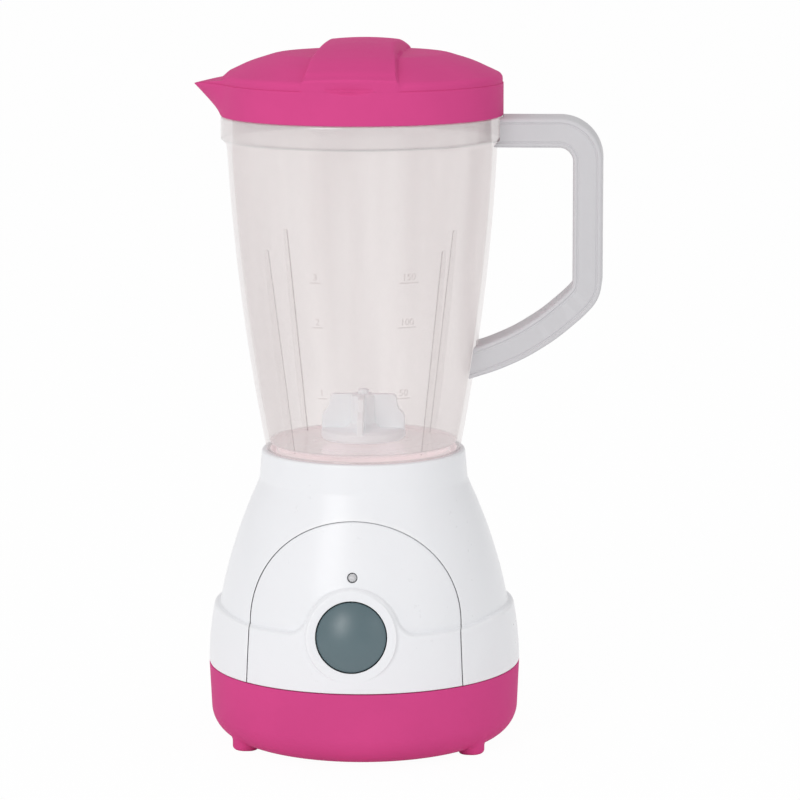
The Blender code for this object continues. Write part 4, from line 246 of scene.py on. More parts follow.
@dataclass(frozen=True)
class Plastic:
    """Moulded plastic: a fine skin, broad flow shading, hairline scratches and rubbed edges."""

    name: str
    colour: Colour
    roughness: float = 0.34
    ripple: float = 0.000012
    ripple_size: float = 0.0016
    mottle: float = 0.03
    scratch: float = 0.10
    gloss: float = 0.5
    coat: float = 0.0
    scatter: float = 0.0
    glow: float = 0.0

    def build(self) -> bpy.types.Material:
        """Make the material.

        Returns:
            The material.
        """
        graph = Graph(self.name)
        broad = graph.noise(0.030, 3.0)
        fine = graph.noise(self.ripple_size, 3.0)
        pores = graph.noise(self.ripple_size / 5, 1.0)
        across = graph.noise(0.0011, 2.0, (1.0, 1.0, 0.05)).ramp(0.66, 0.74)
        along = graph.noise(0.0009, 2.0, (0.06, 1.0, 1.0)).ramp(0.68, 0.76)
        rubbed = graph.noise(0.018, 2.0).ramp(0.45, 0.70)
        scratches = (across + along) * rubbed * self.scratch
        dark = shaded(self.colour, 1.0 - self.mottle)
        light = shaded(self.colour, 1.0 + self.mottle)
        base = graph.mix(broad.ramp(0.3, 0.7), dark, light)
        worn = graph.mix(graph.edges() * 0.25, base, shaded(self.colour, 1.12))
        # The emission of the piece's own colour, set by glow, is painted light that brightens it beyond its lighting.
        graph.set(Base_Color=worn, Emission_Color=shaded(self.colour, self.glow), Emission_Strength=1.0)
        graph.set(Roughness=self.roughness + (fine - 0.5) * 0.10 + (broad - 0.5) * 0.08 + scratches)
        graph.set(Coat_Weight=self.coat, Coat_Roughness=0.12, Specular_IOR_Level=self.gloss)
        graph.set(Subsurface_Weight=self.scatter, Subsurface_Scale=0.002)
        graph.bump(fine * 0.7 + pores * 0.3 - scratches * 0.5, self.ripple)
        return graph.material


@dataclass(frozen=True)
class ClearPlastic:
    """Thin clear plastic, which darkens and gleams where it is seen along its surface."""

    name: str
    tint: Colour
    haze: Colour
    film: float = 0.10
    rim: float = 0.55
    roughness: float = 0.10
    coat: float = 0.0
    cloud_low: float = -1.0
    cloud: float = 0.0
    lines: tuple[tuple[float, float, float], ...] = ()
    painted_line_shade: Colour = (0.25, 0.24, 0.24)
    glow: float = 0.0
    cloud_reach: float = 0.0330
    thick: float = 0.0
    thick_z: tuple[float, float] = (0.2143, 0.2222)
    cloud_edge: float = 0.0008
    thick_edge: float = 0.0004
    flow_and_sheen_streaks: float = 0.05

    def build(self) -> bpy.types.Material:
        """Make the material.

        Returns:
            The material.
        """
        graph = Graph(self.name)
        across, along, height = graph.axes()
        fine = graph.noise(0.004, 2.0)
        broad = graph.noise(0.050, 2.0, (1.0, 1.0, 0.25))
        flow = graph.noise(0.020, 2.0, (1.0, 1.0, 0.05))
        colour = graph.mix(broad.ramp(0.3, 0.7), shaded(self.haze, 0.96), self.haze)
        facing = graph.get("ShaderNodeLayerWeight", inputs={"Blend": 0.35}, output="Facing")
        # Vertical streaks in the film: partly flow lines, partly painted light and dark bands that stand in for
        # reflections.
        film = self.film + (facing ** 3.0) * self.rim + (flow - 0.5) * self.flow_and_sheen_streaks
        if self.cloud > 0.0:
            near, far = self.cloud_reach ** 2, (self.cloud_reach + self.cloud_edge) ** 2
            inner = (across * across + along * along).ramp(near, far, 1.0, 0.0)
            cloud = height.ramp(self.cloud_low, self.cloud_low + self.cloud_edge, 1.0, 0.0) * inner
            film = film + cloud * self.cloud
            # Painted glow: where the floor is cloudy it emits its haze colour, standing in for the light that reaches
            # the floor.
            painted_floor_glow = graph.mix(cloud, (0.0, 0.0, 0.0), shaded(self.haze, self.glow))
            graph.set(Emission_Color=painted_floor_glow, Emission_Strength=1.0)
        if self.thick > 0.0:
            low, high = self.thick_z
            above = height.ramp(low, low + self.thick_edge)
            film = film + above * height.ramp(high - self.thick_edge, high, 1.0, 0.0) * self.thick
        # Painted shade: dark lines at given heights, stronger on the front half than at the back.
        for middle, half, strength in self.lines:
            core = half * 0.2
            above = height.ramp(middle - half, middle - core)
            line = above * height.ramp(middle + core, middle + half, 1.0, 0.0)
            colour = graph.mix(line * 0.8, colour, self.painted_line_shade)
            film = film + line * (along.ramp(-0.010, 0.010, 1.0, 0.4) * strength)
        graph.set(Base_Color=colour, IOR=1.5, Coat_Weight=self.coat, Coat_IOR=3.0, Coat_Roughness=0.15)
        graph.set(Roughness=self.roughness + (fine - 0.5) * 0.06 + (broad - 0.5) * 0.04)
        graph.bump(fine, 0.00002)
        clear = graph.get("ShaderNodeBsdfTransparent", inputs={"Color": self.tint})
        solid = Socket(graph, graph.shader.outputs[0])
        blend = graph.get("ShaderNodeMixShader", inputs={0: film, 1: clear, 2: solid})
        graph.feed(graph.surface, blend)
        return graph.material


@dataclass(frozen=True)
class Metal:
    """Drawn, stamped or turned metal with fine lines and dull patches."""

    name: str
    colour: Colour
    roughness: float = 0.30
    lines: Colour = (1.0, 1.0, 0.06)

    def build(self) -> bpy.types.Material:
        """Make the material.

        Returns:
            The material.
        """
        graph = Graph(self.name)
        drawn = graph.noise(0.0006, 3.0, self.lines)
        patches = graph.noise(0.006, 3.0)
        graph.set(Base_Color=graph.mix(patches.ramp(0.35, 0.75), self.colour, shaded(self.colour, 0.78)))
        graph.set(Metallic=1.0, Roughness=self.roughness + (patches - 0.5) * 0.25 + (drawn - 0.5) * 0.12)
        graph.bump(drawn, 0.000012)
        return graph.material


def arc(centre: Corner, radius: float, start: float, end: float, steps: int) -> Outline:
    """Points along an arc."""
    angles = [math.radians(start + (end - start) * i / steps) for i in range(steps + 1)]
    return [(centre[0] + radius * math.cos(a), centre[1] + radius * math.sin(a)) for a in angles]


def rounded(corners: Sequence[Corner], steps: int = 5, closed: bool = False) -> Outline:
    """Round an outline's corners.

    Args:
        corners: Points with an optional third number, the radius of the arc there.
        steps: How many segments each arc has.
        closed: Whether the outline runs back to its start.

    Returns:
        The points.
    """
    points: Outline = []
    for index, corner in enumerate(corners):
        here = Vector(corner[:2])
        radius = corner[2] if len(corner) > 2 else 0.0
        if radius <= 0.0 or (not closed and index in (0, len(corners) - 1)):
            points.append((here.x, here.y))
            continue
        before = (Vector(corners[index - 1][:2]) - here).normalized()
        after = (Vector(corners[(index + 1) % len(corners)][:2]) - here).normalized()
        half = before.angle(after) / 2
        start = here + before * (radius / math.tan(half))
        end = here + after * (radius / math.tan(half))
        centre = here + (before + after).normalized() * (radius / math.sin(half))
        for step in range(steps + 1):
            spoke = (start - centre).slerp(end - centre, step / steps).normalized()
            point = centre + spoke * radius
            points.append((point.x, point.y))
    return points


def spaced(points: Outline, most: float) -> Outline:
    """Add points to a line so that no step is longer than a limit.

    Args:
        points: The line.
        most: The limit.

    Returns:
        The finer line.
    """
    finer = [points[0]]
    for start, end in zip(points, points[1:]):
        count = max(1, math.ceil(math.dist(start, end) / most))
        for i in range(1, count + 1):
            finer.append(tuple(a + (b - a) * i / count for a, b in zip(start, end)))
    return finer


def mirrored(side: Sequence[Corner]) -> list[Corner]:
    """Add the other half of an outline, the mirror image about its second axis."""
    return list(side) + [(-corner[0], *corner[1:]) for corner in reversed(side)]


def all_four(at: Corner) -> list[Corner]:
    """A place and its mirror images about both axes."""
    return [(sx * at[0], sy * at[1]) for sx in (-1, 1) for sy in (-1, 1)]


def rise(values: np.ndarray, low: float, high: float) -> np.ndarray:
    """Run smoothly from 0 to 1."""
    share = np.clip((values - low) / (high - low), 0.0, 1.0)
    return share * share * (3.0 - 2.0 * share)


def soft_max(first: np.ndarray, second: np.ndarray, blend: float) -> np.ndarray:
    """The greater of two heights, with a fillet where they cross."""
    near = np.clip(0.5 + 0.5 * (second - first) / blend, 0.0, 1.0)
    return first * (1.0 - near) + second * near + blend * near * (1.0 - near)


def band_profile(start: Corner, end: Corner, bulge: float, steps: int = 12) -> Outline:
    """A line from one (radius, height) to another that swells outwards in its middle.

    Args:
        start: Where it starts.
        end: Where it ends.
        bulge: How far its middle stands out.
        steps: How many segments it has.

    Returns:
        The points.
    """
    shares = [i / steps for i in range(steps + 1)]
    return [
        (start[0] + (end[0] - start[0]) * s + bulge * 4 * s * (1 - s), start[1] + (end[1] - start[1]) * s)
        for s in shares
    ]


class Solid:
    """A mesh being shaped, into which its tools are baked one after another."""

    def __init__(self, name: str, mesh: bpy.types.Mesh) -> None:
        """Put a mesh in the scene."""
        self.obj = bpy.data.objects.new(name, mesh)
        bpy.context.scene.collection.objects.link(self.obj)

    @classmethod
    def from_points(cls, name: str, points: Iterable[Corner], faces: Iterable[Sequence[int]]) -> "Solid":
        """Make a mesh from its points and faces, and turn its faces outwards.

        Args:
            name: The piece's name.
            points: The vertices.
            faces: The faces.

        Returns:
            The solid.
        """
        mesh = bpy.data.meshes.new(name)
        mesh.from_pydata([tuple(float(v) for v in p) for p in points], [], [tuple(f) for f in faces])
        return cls(name, mesh).cleaned()

    def cleaned(self) -> "Solid":
        """Merge points that coincide and turn all faces outwards.

        Returns:
            The solid.
        """
        shape = bmesh.new()
        shape.from_mesh(self.obj.data)
        bmesh.ops.remove_doubles(shape, verts=shape.verts, dist=MERGE)
        bmesh.ops.recalc_face_normals(shape, faces=shape.faces)
        shape.to_mesh(self.obj.data)
        shape.free()
        return self

    @classmethod
    def lofted(cls, name: str, rings: np.ndarray, closed: bool = False, capped: bool = True) -> "Solid":
        """Join rings of points, each to the next.

        Args:
            name: The piece's name.
            rings: The points, by ring and place in it.
            closed: Whether the last ring joins the first.
            capped: Whether the end rings are filled.

        Returns:
            The solid.
        """
        rows, count = rings.shape[:2]
        faces: list[Sequence[int]] = [range(count), range((rows - 1) * count, rows * count)] if capped else []
        for row in range(rows if closed else rows - 1):
            here, there = row * count, (row + 1) % rows * count
            faces += [(here + i, here + (i + 1) % count, there + (i + 1) % count, there + i) for i in range(count)]
        return cls.from_points(name, rings.reshape(-1, 3), faces)

    @classmethod
    def turned(
        cls,
        name: str,
        profile: Outline,
        steps: Union[int, Sequence[float]] = 128,
        warp: Optional[Warp] = None,
    ) -> "Solid":
        """Turn a profile of (radius, height) points about Z.

        Args:
            name: The piece's name.
            profile: The profile, from axis to axis or closed.
            steps: How many steps a turn has, or the angles of its steps in degrees.
            warp: Moves the points as arrays of x, y and z.

        Returns:
            The solid.
        """
        rings = np.array(profile, float)
        closed = rings[0, 0] > MERGE or rings[-1, 0] > MERGE
        angles = np.arange(steps) * math.tau / steps if isinstance(steps, int) else np.radians(steps)
        x = rings[:, :1] * np.cos(angles)
        y = rings[:, :1] * np.sin(angles)
        z = np.repeat(rings[:, 1:2], len(angles), axis=1)
        if warp is not None:
            x, y, z = warp(x, y, z)
        return cls.lofted(name, np.stack([x, y, z], axis=-1), closed, capped=False)

    @classmethod
    def plate(cls, name: str, outline: Outline, low: float, high: float) -> "Solid":
        """Stand a flat outline up between two heights."""
        return cls.lofted(name, np.array([[(x, y, z) for x, y in outline] for z in (low, high)]))

    @classmethod
    def block(cls, name: str, low: Corner, high: Corner) -> "Solid":
        """A box between two corners."""
        base = [(low[0], low[1]), (high[0], low[1]), (high[0], high[1]), (low[0], high[1])]
        return cls.plate(name, base, low[2], high[2])

    @classmethod
    def rod(
        cls,
        name: str,
        radius: float,
        low: float,
        high: float,
        at: Corner = (0.0, 0.0),
        steps: int = 48,
    ) -> "Solid":
        """A round bar standing on Z."""
        return cls.plate(name, arc(at, radius, 0.0, 360.0, steps)[:-1], low, high)

    def moved(self, matrix: Matrix) -> "Solid":
        """Move the mesh."""
        self.obj.data.transform(matrix)
        return self

    def upright(self) -> "Solid":
        """Stand a flat outline up, so that its (x, y) becomes (x, z) and its thickness runs along -Y."""
        return self.moved(Matrix.Rotation(math.radians(90.0), 4, "X"))

    def spun(self, degrees: float) -> "Solid":
        """Turn the mesh about Z."""
        return self.moved(Matrix.Rotation(math.radians(degrees), 4, "Z"))

    def _bake(self) -> "Solid":
        """Turn the modifiers into mesh.

        Returns:
            The solid.
        """
        bpy.context.view_layer.update()
        before = self.obj.data
        after = bpy.data.meshes.new_from_object(self.obj.evaluated_get(bpy.context.evaluated_depsgraph_get()))
        self.obj.modifiers.clear()
        self.obj.data = after
        bpy.data.meshes.remove(before)
        return self

    def _combine(self, operation: str, tools: Sequence["Solid"]) -> "Solid":
        """Combine with tools, which are used up.

        Args:
            operation: The Boolean operation.
            tools: The tools.

        Returns:
            The solid.
        """
        for tool in tools:
            change = self.obj.modifiers.new(operation, "BOOLEAN")
            change.operation = operation
            change.solver = "EXACT"
            change.object = tool.obj
        self._bake()
        for tool in tools:
            tool.drop()
        return self

    def join(self, *tools: "Solid") -> "Solid":
        """Add tools to the solid and return it."""
        return self._combine("UNION", tools)

    def cut(self, *tools: "Solid") -> "Solid":
        """Take tools away from the solid and return it."""
        return self._combine("DIFFERENCE", tools)

    def add(self, *others: "Solid") -> "Solid":
        """Take other solids' faces into this mesh as they are.

        Args:
            others: The solids, which are used up.

        Returns:
            The solid.
        """
        shape = bmesh.new()
        shape.from_mesh(self.obj.data)
        for other in others:
            shape.from_mesh(other.obj.data)
            other.drop()
        shape.to_mesh(self.obj.data)
        shape.free()
        return self

    def bevel(self, width: float, steps: int = 2, angle: float = 40.0) -> "Solid":
        """Round the sharp edges.

        Args:
            width: How wide the rounding is.
            steps: How many segments it has.
            angle: The turn in degrees from which an edge counts as sharp.

        Returns:
            The solid.
        """
        change = self.obj.modifiers.new("edges", "BEVEL")
        change.width = width
        change.segments = steps
        change.limit_method = "ANGLE"
        change.angle_limit = math.radians(angle)
        change.miter_outer = "MITER_ARC"
        return self._bake()

    def drop(self) -> None:
        """Take the solid out of the scene."""
        bpy.data.objects.remove(self.obj, do_unlink=True)

    def finish(
        self,
        body: Body,
        material: bpy.types.Material,
        slot: str,
        node: Optional[str] = None,
        angle: float = 32.0,
    ) -> bpy.types.Object:
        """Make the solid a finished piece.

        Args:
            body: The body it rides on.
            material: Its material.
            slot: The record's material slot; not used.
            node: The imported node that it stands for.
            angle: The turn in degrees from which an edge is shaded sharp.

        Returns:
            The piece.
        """
        mesh = self.obj.data
        mesh.materials.clear()
        mesh.materials.append(material)
        mesh.shade_smooth()
        mesh.set_sharp_from_angle(angle=math.radians(angle))
        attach(self.obj, body.value)
        if node is not None:
            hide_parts(node)
        LOG.info("%s: %d faces", self.obj.name, len(mesh.polygons))
        return self.obj


def graded_angles(centres: Sequence[float], reach: float, fine: float, coarse: float) -> list[float]:
    """Angles round a turn that lie closer together near some of them.

    Args:
        centres: The angles in degrees with fine steps round them.
        reach: How far the fine steps run on each side.
        fine: The fine step.
        coarse: The step elsewhere.

    Returns:
        The angles.
    """
    angles, angle = [], 0.0
    while angle < 360.0 - fine / 2:
        angles.append(angle)
        near = any(abs((angle - centre + 180.0) % 360.0 - 180.0) < reach for centre in centres)
        angle += fine if near else coarse
    return angles


@dataclass(frozen=True)
class Spout:
    """The lid's pouring spout: how far it reaches and how it runs out of the skirt."""

    reach: float = 0.0593
    half_width: float = 0.0150
    tip_z: float = 0.2331
    top_z: float = 0.2352
    hollow: float = 1.10
    tip_blunt: float = 0.0016
    gate: float = 0.82
    root_fillet: float = 0.0010
    flatten: float = 0.94

    def outline(self, radius: float, angle: np.ndarray) -> np.ndarray:
        """How far the plan stands out from the lid's round edge.

        Args:
            radius: The edge's radius.
            angle: The angle from the spout's middle.

        Returns:
            The extra radius.
        """
        root = math.sqrt(radius ** 2 - self.half_width ** 2)
        lean = (self.reach - root) / self.half_width
        swing = np.sqrt(np.sin(angle) ** 2 + (self.tip_blunt / self.reach) ** 2)
        ray = (self.reach + lean * self.tip_blunt) / (np.cos(angle) + lean * swing)
        proud = np.where(np.cos(angle) > self.gate, ray - radius, -1.0)
        blend = self.root_fillet
        return np.where(proud > blend, proud, np.where(proud > -blend, (proud + blend) ** 2 / (4 * blend), 0.0))


@dataclass(frozen=True)
class Lid:
    """The pink lid: dome, skirt, spout, grip ridge with its thumb scoop, and the plug ring."""

    radius: float = 0.0497
    seam_step: float = 0.0003
    seam_z: float = 0.2337
    low_z: float = 0.2222
    skirt_in: float = 0.0477
    seat_z: float = 0.2328
    plug: Span = (0.0453, 0.0439, 0.2240)
    bend: tuple[float, float] = (0.0300, 0.2440)
    edge_z: float = 0.2364
    crown_z: float = 0.2446
    shell: float = 0.0022
    ridge_half: float = 0.0168
    scoop: tuple[float, float, float, float] = (0.0093, 0.0018, 0.0012, 0.2348)
    crown: tuple[tuple[float, ...], ...] = (
        (0.0, 0.2490),
        (0.023, 0.2482, 0.090),
        (0.0400, 0.2442, 0.030),
        (0.0472, 0.2403, 0.006),
        (0.0497, 0.2365, 0.003),
        (0.0497, 0.2337),
    )
    section: tuple[tuple[float, ...], ...] = (
        (0.0, 0.2640),
        (0.0106, 0.2510),
        (0.0143, 0.2450, 0.006),
        (0.0168, 0.2337),
        (0.0181, 0.2250),
    )
    camber: tuple[float, float] = (0.0003, 0.0106)
    crown_fillet: float = 0.0016
    ridge_fillet: float = 0.0009
    nose_reach: float = 0.0012
    nose_top: float = 0.2393
    nose_out: float = 0.0008
    scoop_reach: float = 0.0080
    spout_hold: tuple[float, float] = (0.0030, 0.0004)
    roof_edge: float = 0.0010
    spout: Spout = field(default_factory=Spout)

    def outside(self) -> Outline:
        """The profile from the crown down to the skirt's foot.

        Returns:
            The points.
        """
        upper = self.radius - self.seam_step
        middle = ((self.bend[0] + upper) / 2, (self.bend[1] + self.edge_z) / 2 + 0.0008, 0.040)
        corners = [
            (0.0, self.crown_z),
            (*self.bend, 0.014),
            middle,
            (upper, self.edge_z, 0.0022),
            (upper, self.seam_z + 0.00012, 0.0001),
            (upper - 0.00022, self.seam_z, 0.0001),
            (self.radius, self.seam_z - 0.00008, 0.0002),
            (self.radius, self.low_z, 0.0005),
            (self.radius - 0.0010, self.low_z),
        ]
        return spaced(rounded(corners, 4), 0.0007)

    def inside(self) -> Outline:
        """The profile from the skirt's foot up the inside to the axis.

        Returns:
            The points.
        """
        plug_out, plug_in, plug_low = self.plug
        slope = (self.edge_z - self.bend[1]) / (self.radius - self.bend[0])
        roof = self.bend[1] - self.shell
        corners = [
            (self.radius - 0.0010, self.low_z),
            (self.skirt_in, self.low_z, 0.0004),
            (self.skirt_in, self.seat_z, 0.0003),
            (plug_out, self.seat_z, 0.0003),
            (plug_out, plug_low, 0.0004),
            (plug_in, plug_low, 0.0004),
            (plug_in, roof + slope * (plug_in - self.bend[0]), 0.0010),
            (self.bend[0], roof, 0.010),
            (0.0, self.crown_z - self.shell),
        ]
        return spaced(rounded(corners, 4), 0.0030)

    def ridge(self, x: np.ndarray, radius: np.ndarray) -> np.ndarray:
        """The height of the grip ridge over the dome.

        Args:
            x: How far to the side of the ridge's middle.
            radius: How far from the axis.

        Returns:
            The heights.
        """
        drop, half = self.camber
        run = np.interp(radius, *zip(*rounded(self.crown, 16))) - drop * (x / half) ** 2
        side = np.interp(np.abs(x), *zip(*rounded(self.section, 8)))
        return -soft_max(-run, -side, self.crown_fillet)

    def nose(self, x: np.ndarray, z: np.ndarray, radius: np.ndarray) -> np.ndarray:
        """How far the ends of the ridge stand out over the step of the seam.

        Args:
            x: Places across.
            z: Heights.
            radius: Distances from the axis.

        Returns:
            The extra radius.
        """
        near = rise(-np.abs(x), -self.ridge_half - 0.0004, -self.ridge_half + 0.0010)
        over = (radius > self.radius - self.nose_reach) * (z > self.seam_z - self.nose_reach) * (z < self.nose_top)
        return over * near * np.clip(self.radius - radius, 0.0, self.nose_out)

    def dent(self, x: np.ndarray, y: np.ndarray, z: np.ndarray, radius: np.ndarray) -> np.ndarray:
        """How deep the thumb scoop lies in the front end of the ridge.

        Args:
            x: Places across.
            y: Places along.
            z: Heights.
            radius: Distances from the axis.

        Returns:
            The depths.
        """
        half, high, deep, middle = self.scoop
        ball = 1.0 - (x / half) ** 2 - ((z - middle) / high) ** 2
        return deep * np.clip(ball, 0.0, 1.0) ** 0.75 * (y < 0.0) * (radius > self.radius - self.scoop_reach)

    def pour(self, x: np.ndarray, y: np.ndarray, z: np.ndarray, radius: np.ndarray) -> np.ndarray:
        """How far the spout stands out from the skirt and the edge of the roof.

        Args:
            x: Places across.
            y: Places along.
            z: Heights.
            radius: Distances from the axis.

        Returns:
            The extra radius.
        """
        along = np.clip((z - self.low_z) / (self.spout.tip_z - self.low_z), 0.0, 1.0) ** self.spout.hollow
        far, near = self.spout_hold
        hold = rise(radius, self.radius - far, self.radius - near)
        return self.spout.outline(self.radius, np.arctan2(y, -x)) * along * hold

    def warp(self, outer: int) -> Warp:
        """Raise the ridge, sink the scoop and draw out the spout.

        Args:
            outer: How many of the profile's points lie outside.

        Returns:
            The movement of the points.
        """

        def move(x: np.ndarray, y: np.ndarray, z: np.ndarray) -> tuple[np.ndarray, np.ndarray, np.ndarray]:
            """Move the points."""
            radius = np.hypot(x, y)
            shown = np.zeros_like(z)
            shown[:outer] = 1.0
            raised = soft_max(z, self.ridge(x, radius), self.ridge_fillet)
            z = np.where(shown * (z > self.seam_z + self.roof_edge) > 0.0, raised, z)
            proud = self.pour(x, y, z, radius) * shown
            out = self.nose(x, z, radius) - self.dent(x, y, z, radius)
            grow = 1.0 + (out * shown + proud) / np.maximum(radius, 0.01)
            spout = self.spout
            fall = np.clip(proud / (spout.reach - self.radius), 0.0, 1.0)
            level = spout.tip_z + (spout.top_z - spout.tip_z) * (1.0 - fall)
            over_it = np.maximum(z - level, 0.0) * shown * rise(proud, 0.0, spout.root_fillet)
            return x * grow, y * grow, z - over_it * spout.flatten

        return move

    def build(self, material: bpy.types.Material) -> None:
        """Make the lid.

        Args:
            material: Its plastic.
        """
        outside = self.outside()
        angles = graded_angles([90.0, 180.0, 270.0], 26.0, 0.9, 2.0)
        lid = Solid.turned("lid_shell", outside + self.inside()[1:], angles, self.warp(len(outside)))
        lid.finish(Body.LID, material, "pink_plastic", "lid")


@dataclass(frozen=True)
class Jar:
    """The clear jar: collar, tapered wall, four inner ribs, floor, foot ring and lugs."""

    seat_z: float = 0.1038
    foot_radius: float = 0.0346
    shoulder: tuple[float, float] = (0.0475, 0.2097)
    bulge: float = 0.00185
    wall: float = 0.0016
    collar_radius: float = 0.0497
    collar_low: float = 0.2143
    collar_top: float = 0.2219
    rim_radius: float = 0.0472
    rim_z: float = 0.2325
    floor_z: float = 0.1053
    rib_angles: tuple[float, ...] = (45.0, 135.0, 225.0, 315.0)
    rib_thickness: float = 0.0006
    rib_top: float = 0.1780
    rib_reach: tuple[float, float] = (0.0019, 0.0009)
    marks: tuple[tuple[float, str, str], ...] = ((0.1270, "1", "50"), (0.1522, "2", "100"), (0.1679, "3", "150"))
    mark_turns: tuple[float, float] = (-16.6, 26.0)
    lug_z: tuple[float, float] = (0.2168, 0.1378)
    lug_half: tuple[float, float] = (0.0040, 0.00225)
    lug_reach: float = 0.0055
    lug_root: float = 0.0008
    number_size: float = 0.0034
    number_half: float = 0.00025
    number_sink: float = 0.00008
    mark_rise: float = 0.00018
    mark_root: float = 0.0004

    def radius(self, z: float) -> float:
        """The wall's outer radius."""
        share = (z - self.seat_z) / (self.shoulder[1] - self.seat_z)
        return self.foot_radius + (self.shoulder[0] - self.foot_radius) * share + self.bulge * 4 * share * (1 - share)

    def skin(self, inset: float, low: float, high: float, steps: int = 24) -> Outline:
        """The wall's profile from one height to another."""
        heights = [low + (high - low) * i / steps for i in range(steps + 1)]
        return [(self.radius(z) - inset, z) for z in heights]

    def outside(self, offset: float = 0.0) -> Outline:
        """The outer profile from the collar's top down to the seat.

        Args:
            offset: How far outside the jar.

        Returns:
            The points.
        """
        collar = self.collar_radius + offset
        corners = [
            (collar - 0.0020, self.collar_top + 0.0001),
            (collar, self.collar_top, 0.0006),
            (collar, self.collar_low, 0.0006),
            (collar - 0.0019, self.collar_low - 0.0019, 0.0010),
            (self.radius(self.shoulder[1]) + offset, self.shoulder[1]),
        ]
        return rounded(corners, 5) + self.skin(-offset, self.shoulder[1], self.seat_z)[1:]

    def profile(self) -> Outline:
        """The whole section of the wall, floor and foot ring.

        Returns:
            The points.
        """
        rim_in = self.rim_radius - self.wall
        inner_low = self.floor_z + 0.0040
        foot = [
            (0.0340, self.seat_z - 0.00002, 0.0003),
            (0.0332, self.seat_z - 0.00002, 0.0002),
            (0.0332, 0.0965, 0.0005),
            (0.0312, 0.0965, 0.0005),
            (0.0312, self.seat_z, 0.0008),
            (0.0037, self.seat_z, 0.0002),
            (0.0037, self.floor_z + 0.0012, 0.0002),
            (0.0062, self.floor_z + 0.0012, 0.0004),
            (0.0064, self.floor_z, 0.0006),
            (self.radius(self.floor_z) - self.wall, self.floor_z, 0.0022),
            (self.radius(inner_low) - self.wall, inner_low),
        ]
        rim = [
            (rim_in, self.collar_low, 0.004),
            (rim_in, self.rim_z, 0.0006),
            (self.rim_radius, self.rim_z, 0.0006),
            (self.rim_radius, self.collar_top, 0.0004),
            (self.collar_radius - 0.0020, self.collar_top + 0.0001),
        ]
        inside = self.skin(self.wall, inner_low, self.shoulder[1])
        return self.outside()[1:] + rounded(foot, 4)[:-1] + inside + rounded([inside[-1], *rim], 4)[1:]

    def rib(self) -> Solid:
        """One upright rib inside the wall, deepest at its foot.

        Returns:
            The solid.
        """
        outer = self.skin(self.wall * 0.5, self.floor_z - 0.0006, self.rib_top, 12)
        foot = self.radius(self.floor_z) - self.wall - self.rib_reach[0]
        top = self.radius(self.rib_top) - self.wall - self.rib_reach[1]
        side = rounded([outer[-1], (top, self.rib_top, 0.0008), (foot, self.floor_z - 0.0006)], 4)
        half = self.rib_thickness / 2
        return Solid.plate("jar_ribs", outer + side[1:], -half, half).upright()

    def mark(self, z: float, turn: float, half: float) -> Solid:
        """A raised stroke of the scale on the wall.

        Args:
            z: Its height.
            turn: Where its middle is, in degrees from -Y.
            half: Half its length in degrees.

        Returns:
            The solid.
        """
        radius = self.radius(z)
        middle = FRONT + turn
        out = arc((0.0, 0.0), radius + self.mark_rise, middle - half, middle + half, 10)
        back = arc((0.0, 0.0), radius - self.mark_root, middle + half, middle - half, 10)
        return Solid.plate("mark", out + back, z - self.mark_rise, z + self.mark_rise)

    def number(self, text: str, z: float, turn: float) -> Solid:
        """A raised plain number of the scale on the wall.

        Args:
            text: The number.
            z: The height of its foot.
            turn: Where its middle is, in degrees from -Y.

        Returns:
            The solid.
        """
        letters = bpy.data.curves.new("scale", "FONT")
        letters.body = text
        letters.size = self.number_size
        letters.align_x = "CENTER"
        letters.extrude = self.number_half
        letters.resolution_u = 3
        holder = bpy.data.objects.new("scale", letters)
        bpy.context.scene.collection.objects.link(holder)
        bpy.context.view_layer.update()
        mesh = bpy.data.meshes.new_from_object(holder.evaluated_get(bpy.context.evaluated_depsgraph_get()))
        bpy.data.objects.remove(holder, do_unlink=True)
        for vertex in mesh.vertices:
            across, up, out = vertex.co
            radius = self.radius(z + up) + out - self.number_sink
            angle = math.radians(FRONT + turn) + across / radius
            vertex.co = (radius * math.cos(angle), radius * math.sin(angle), z + up)
        return Solid("number_" + text, mesh).cleaned()

    def lug_places(self) -> list[tuple[float, float]]:
        """The wall's radius and the height at each lug that carries the handle."""
        return [(self.collar_radius, self.lug_z[0]), (self.radius(self.lug_z[1]), self.lug_z[1])]

    def lug(self, radius: float, z: float, root: float, gap: float = 0.0) -> Solid:
        """A lug that carries the handle, or with a gap the socket that takes it.

        Args:
            radius: The radius of the wall that it stands on.
            z: Its height.
            root: How far it reaches into the wall.
            gap: How much wider it is on every side.

        Returns:
            The solid.
        """
        wide, high = (half + gap for half in self.lug_half)
        return Solid.block("lug", (radius - root, -wide, z - high), (radius + self.lug_reach + gap, wide, z + high))

    def build(self, material: bpy.types.Material, clear: bpy.types.Material, edges: bpy.types.Material) -> None:
        """Make the jar.

        Args:
            material: Its clear plastic.
            clear: The ribs' plastic, which is thin; its paler haze is also a painted highlight.
            edges: The ribs' free inner edges, painted dark as shade.
        """
        jar = Solid.turned("jar_wall", self.profile(), 160)
        ribs = [self.rib().spun(turn) for turn in self.rib_angles]
        comb = ribs[0].add(*ribs[1:]).finish(Body.JAR, clear, "clear_plastic")
        # Rib faces that turn towards the axis take the dark edge material, painted shade.
        comb.data.materials.append(edges)
        for face in comb.data.polygons:
            inwards = -face.normal.xy.dot(face.center.xy.normalized())
            face.material_index = int(inwards > 0.5)
        slot = ((0.0292, -0.0025, 0.0945), (0.0352, 0.0025, 0.0993))
        jar.cut(*[Solid.block("key_slot", *slot).spun(turn) for turn in KEY_TURNS])
        jar.join(*[self.lug(*place, self.lug_root).bevel(0.0004) for place in self.lug_places()])
        for z, *texts in self.marks:
            for turn, text in zip(self.mark_turns, texts):
                jar.add(self.mark(z, turn, 1.4 + len(text)), self.number(text, z + 0.0009, turn))
        jar.finish(Body.JAR, material, "clear_plastic", "jar")


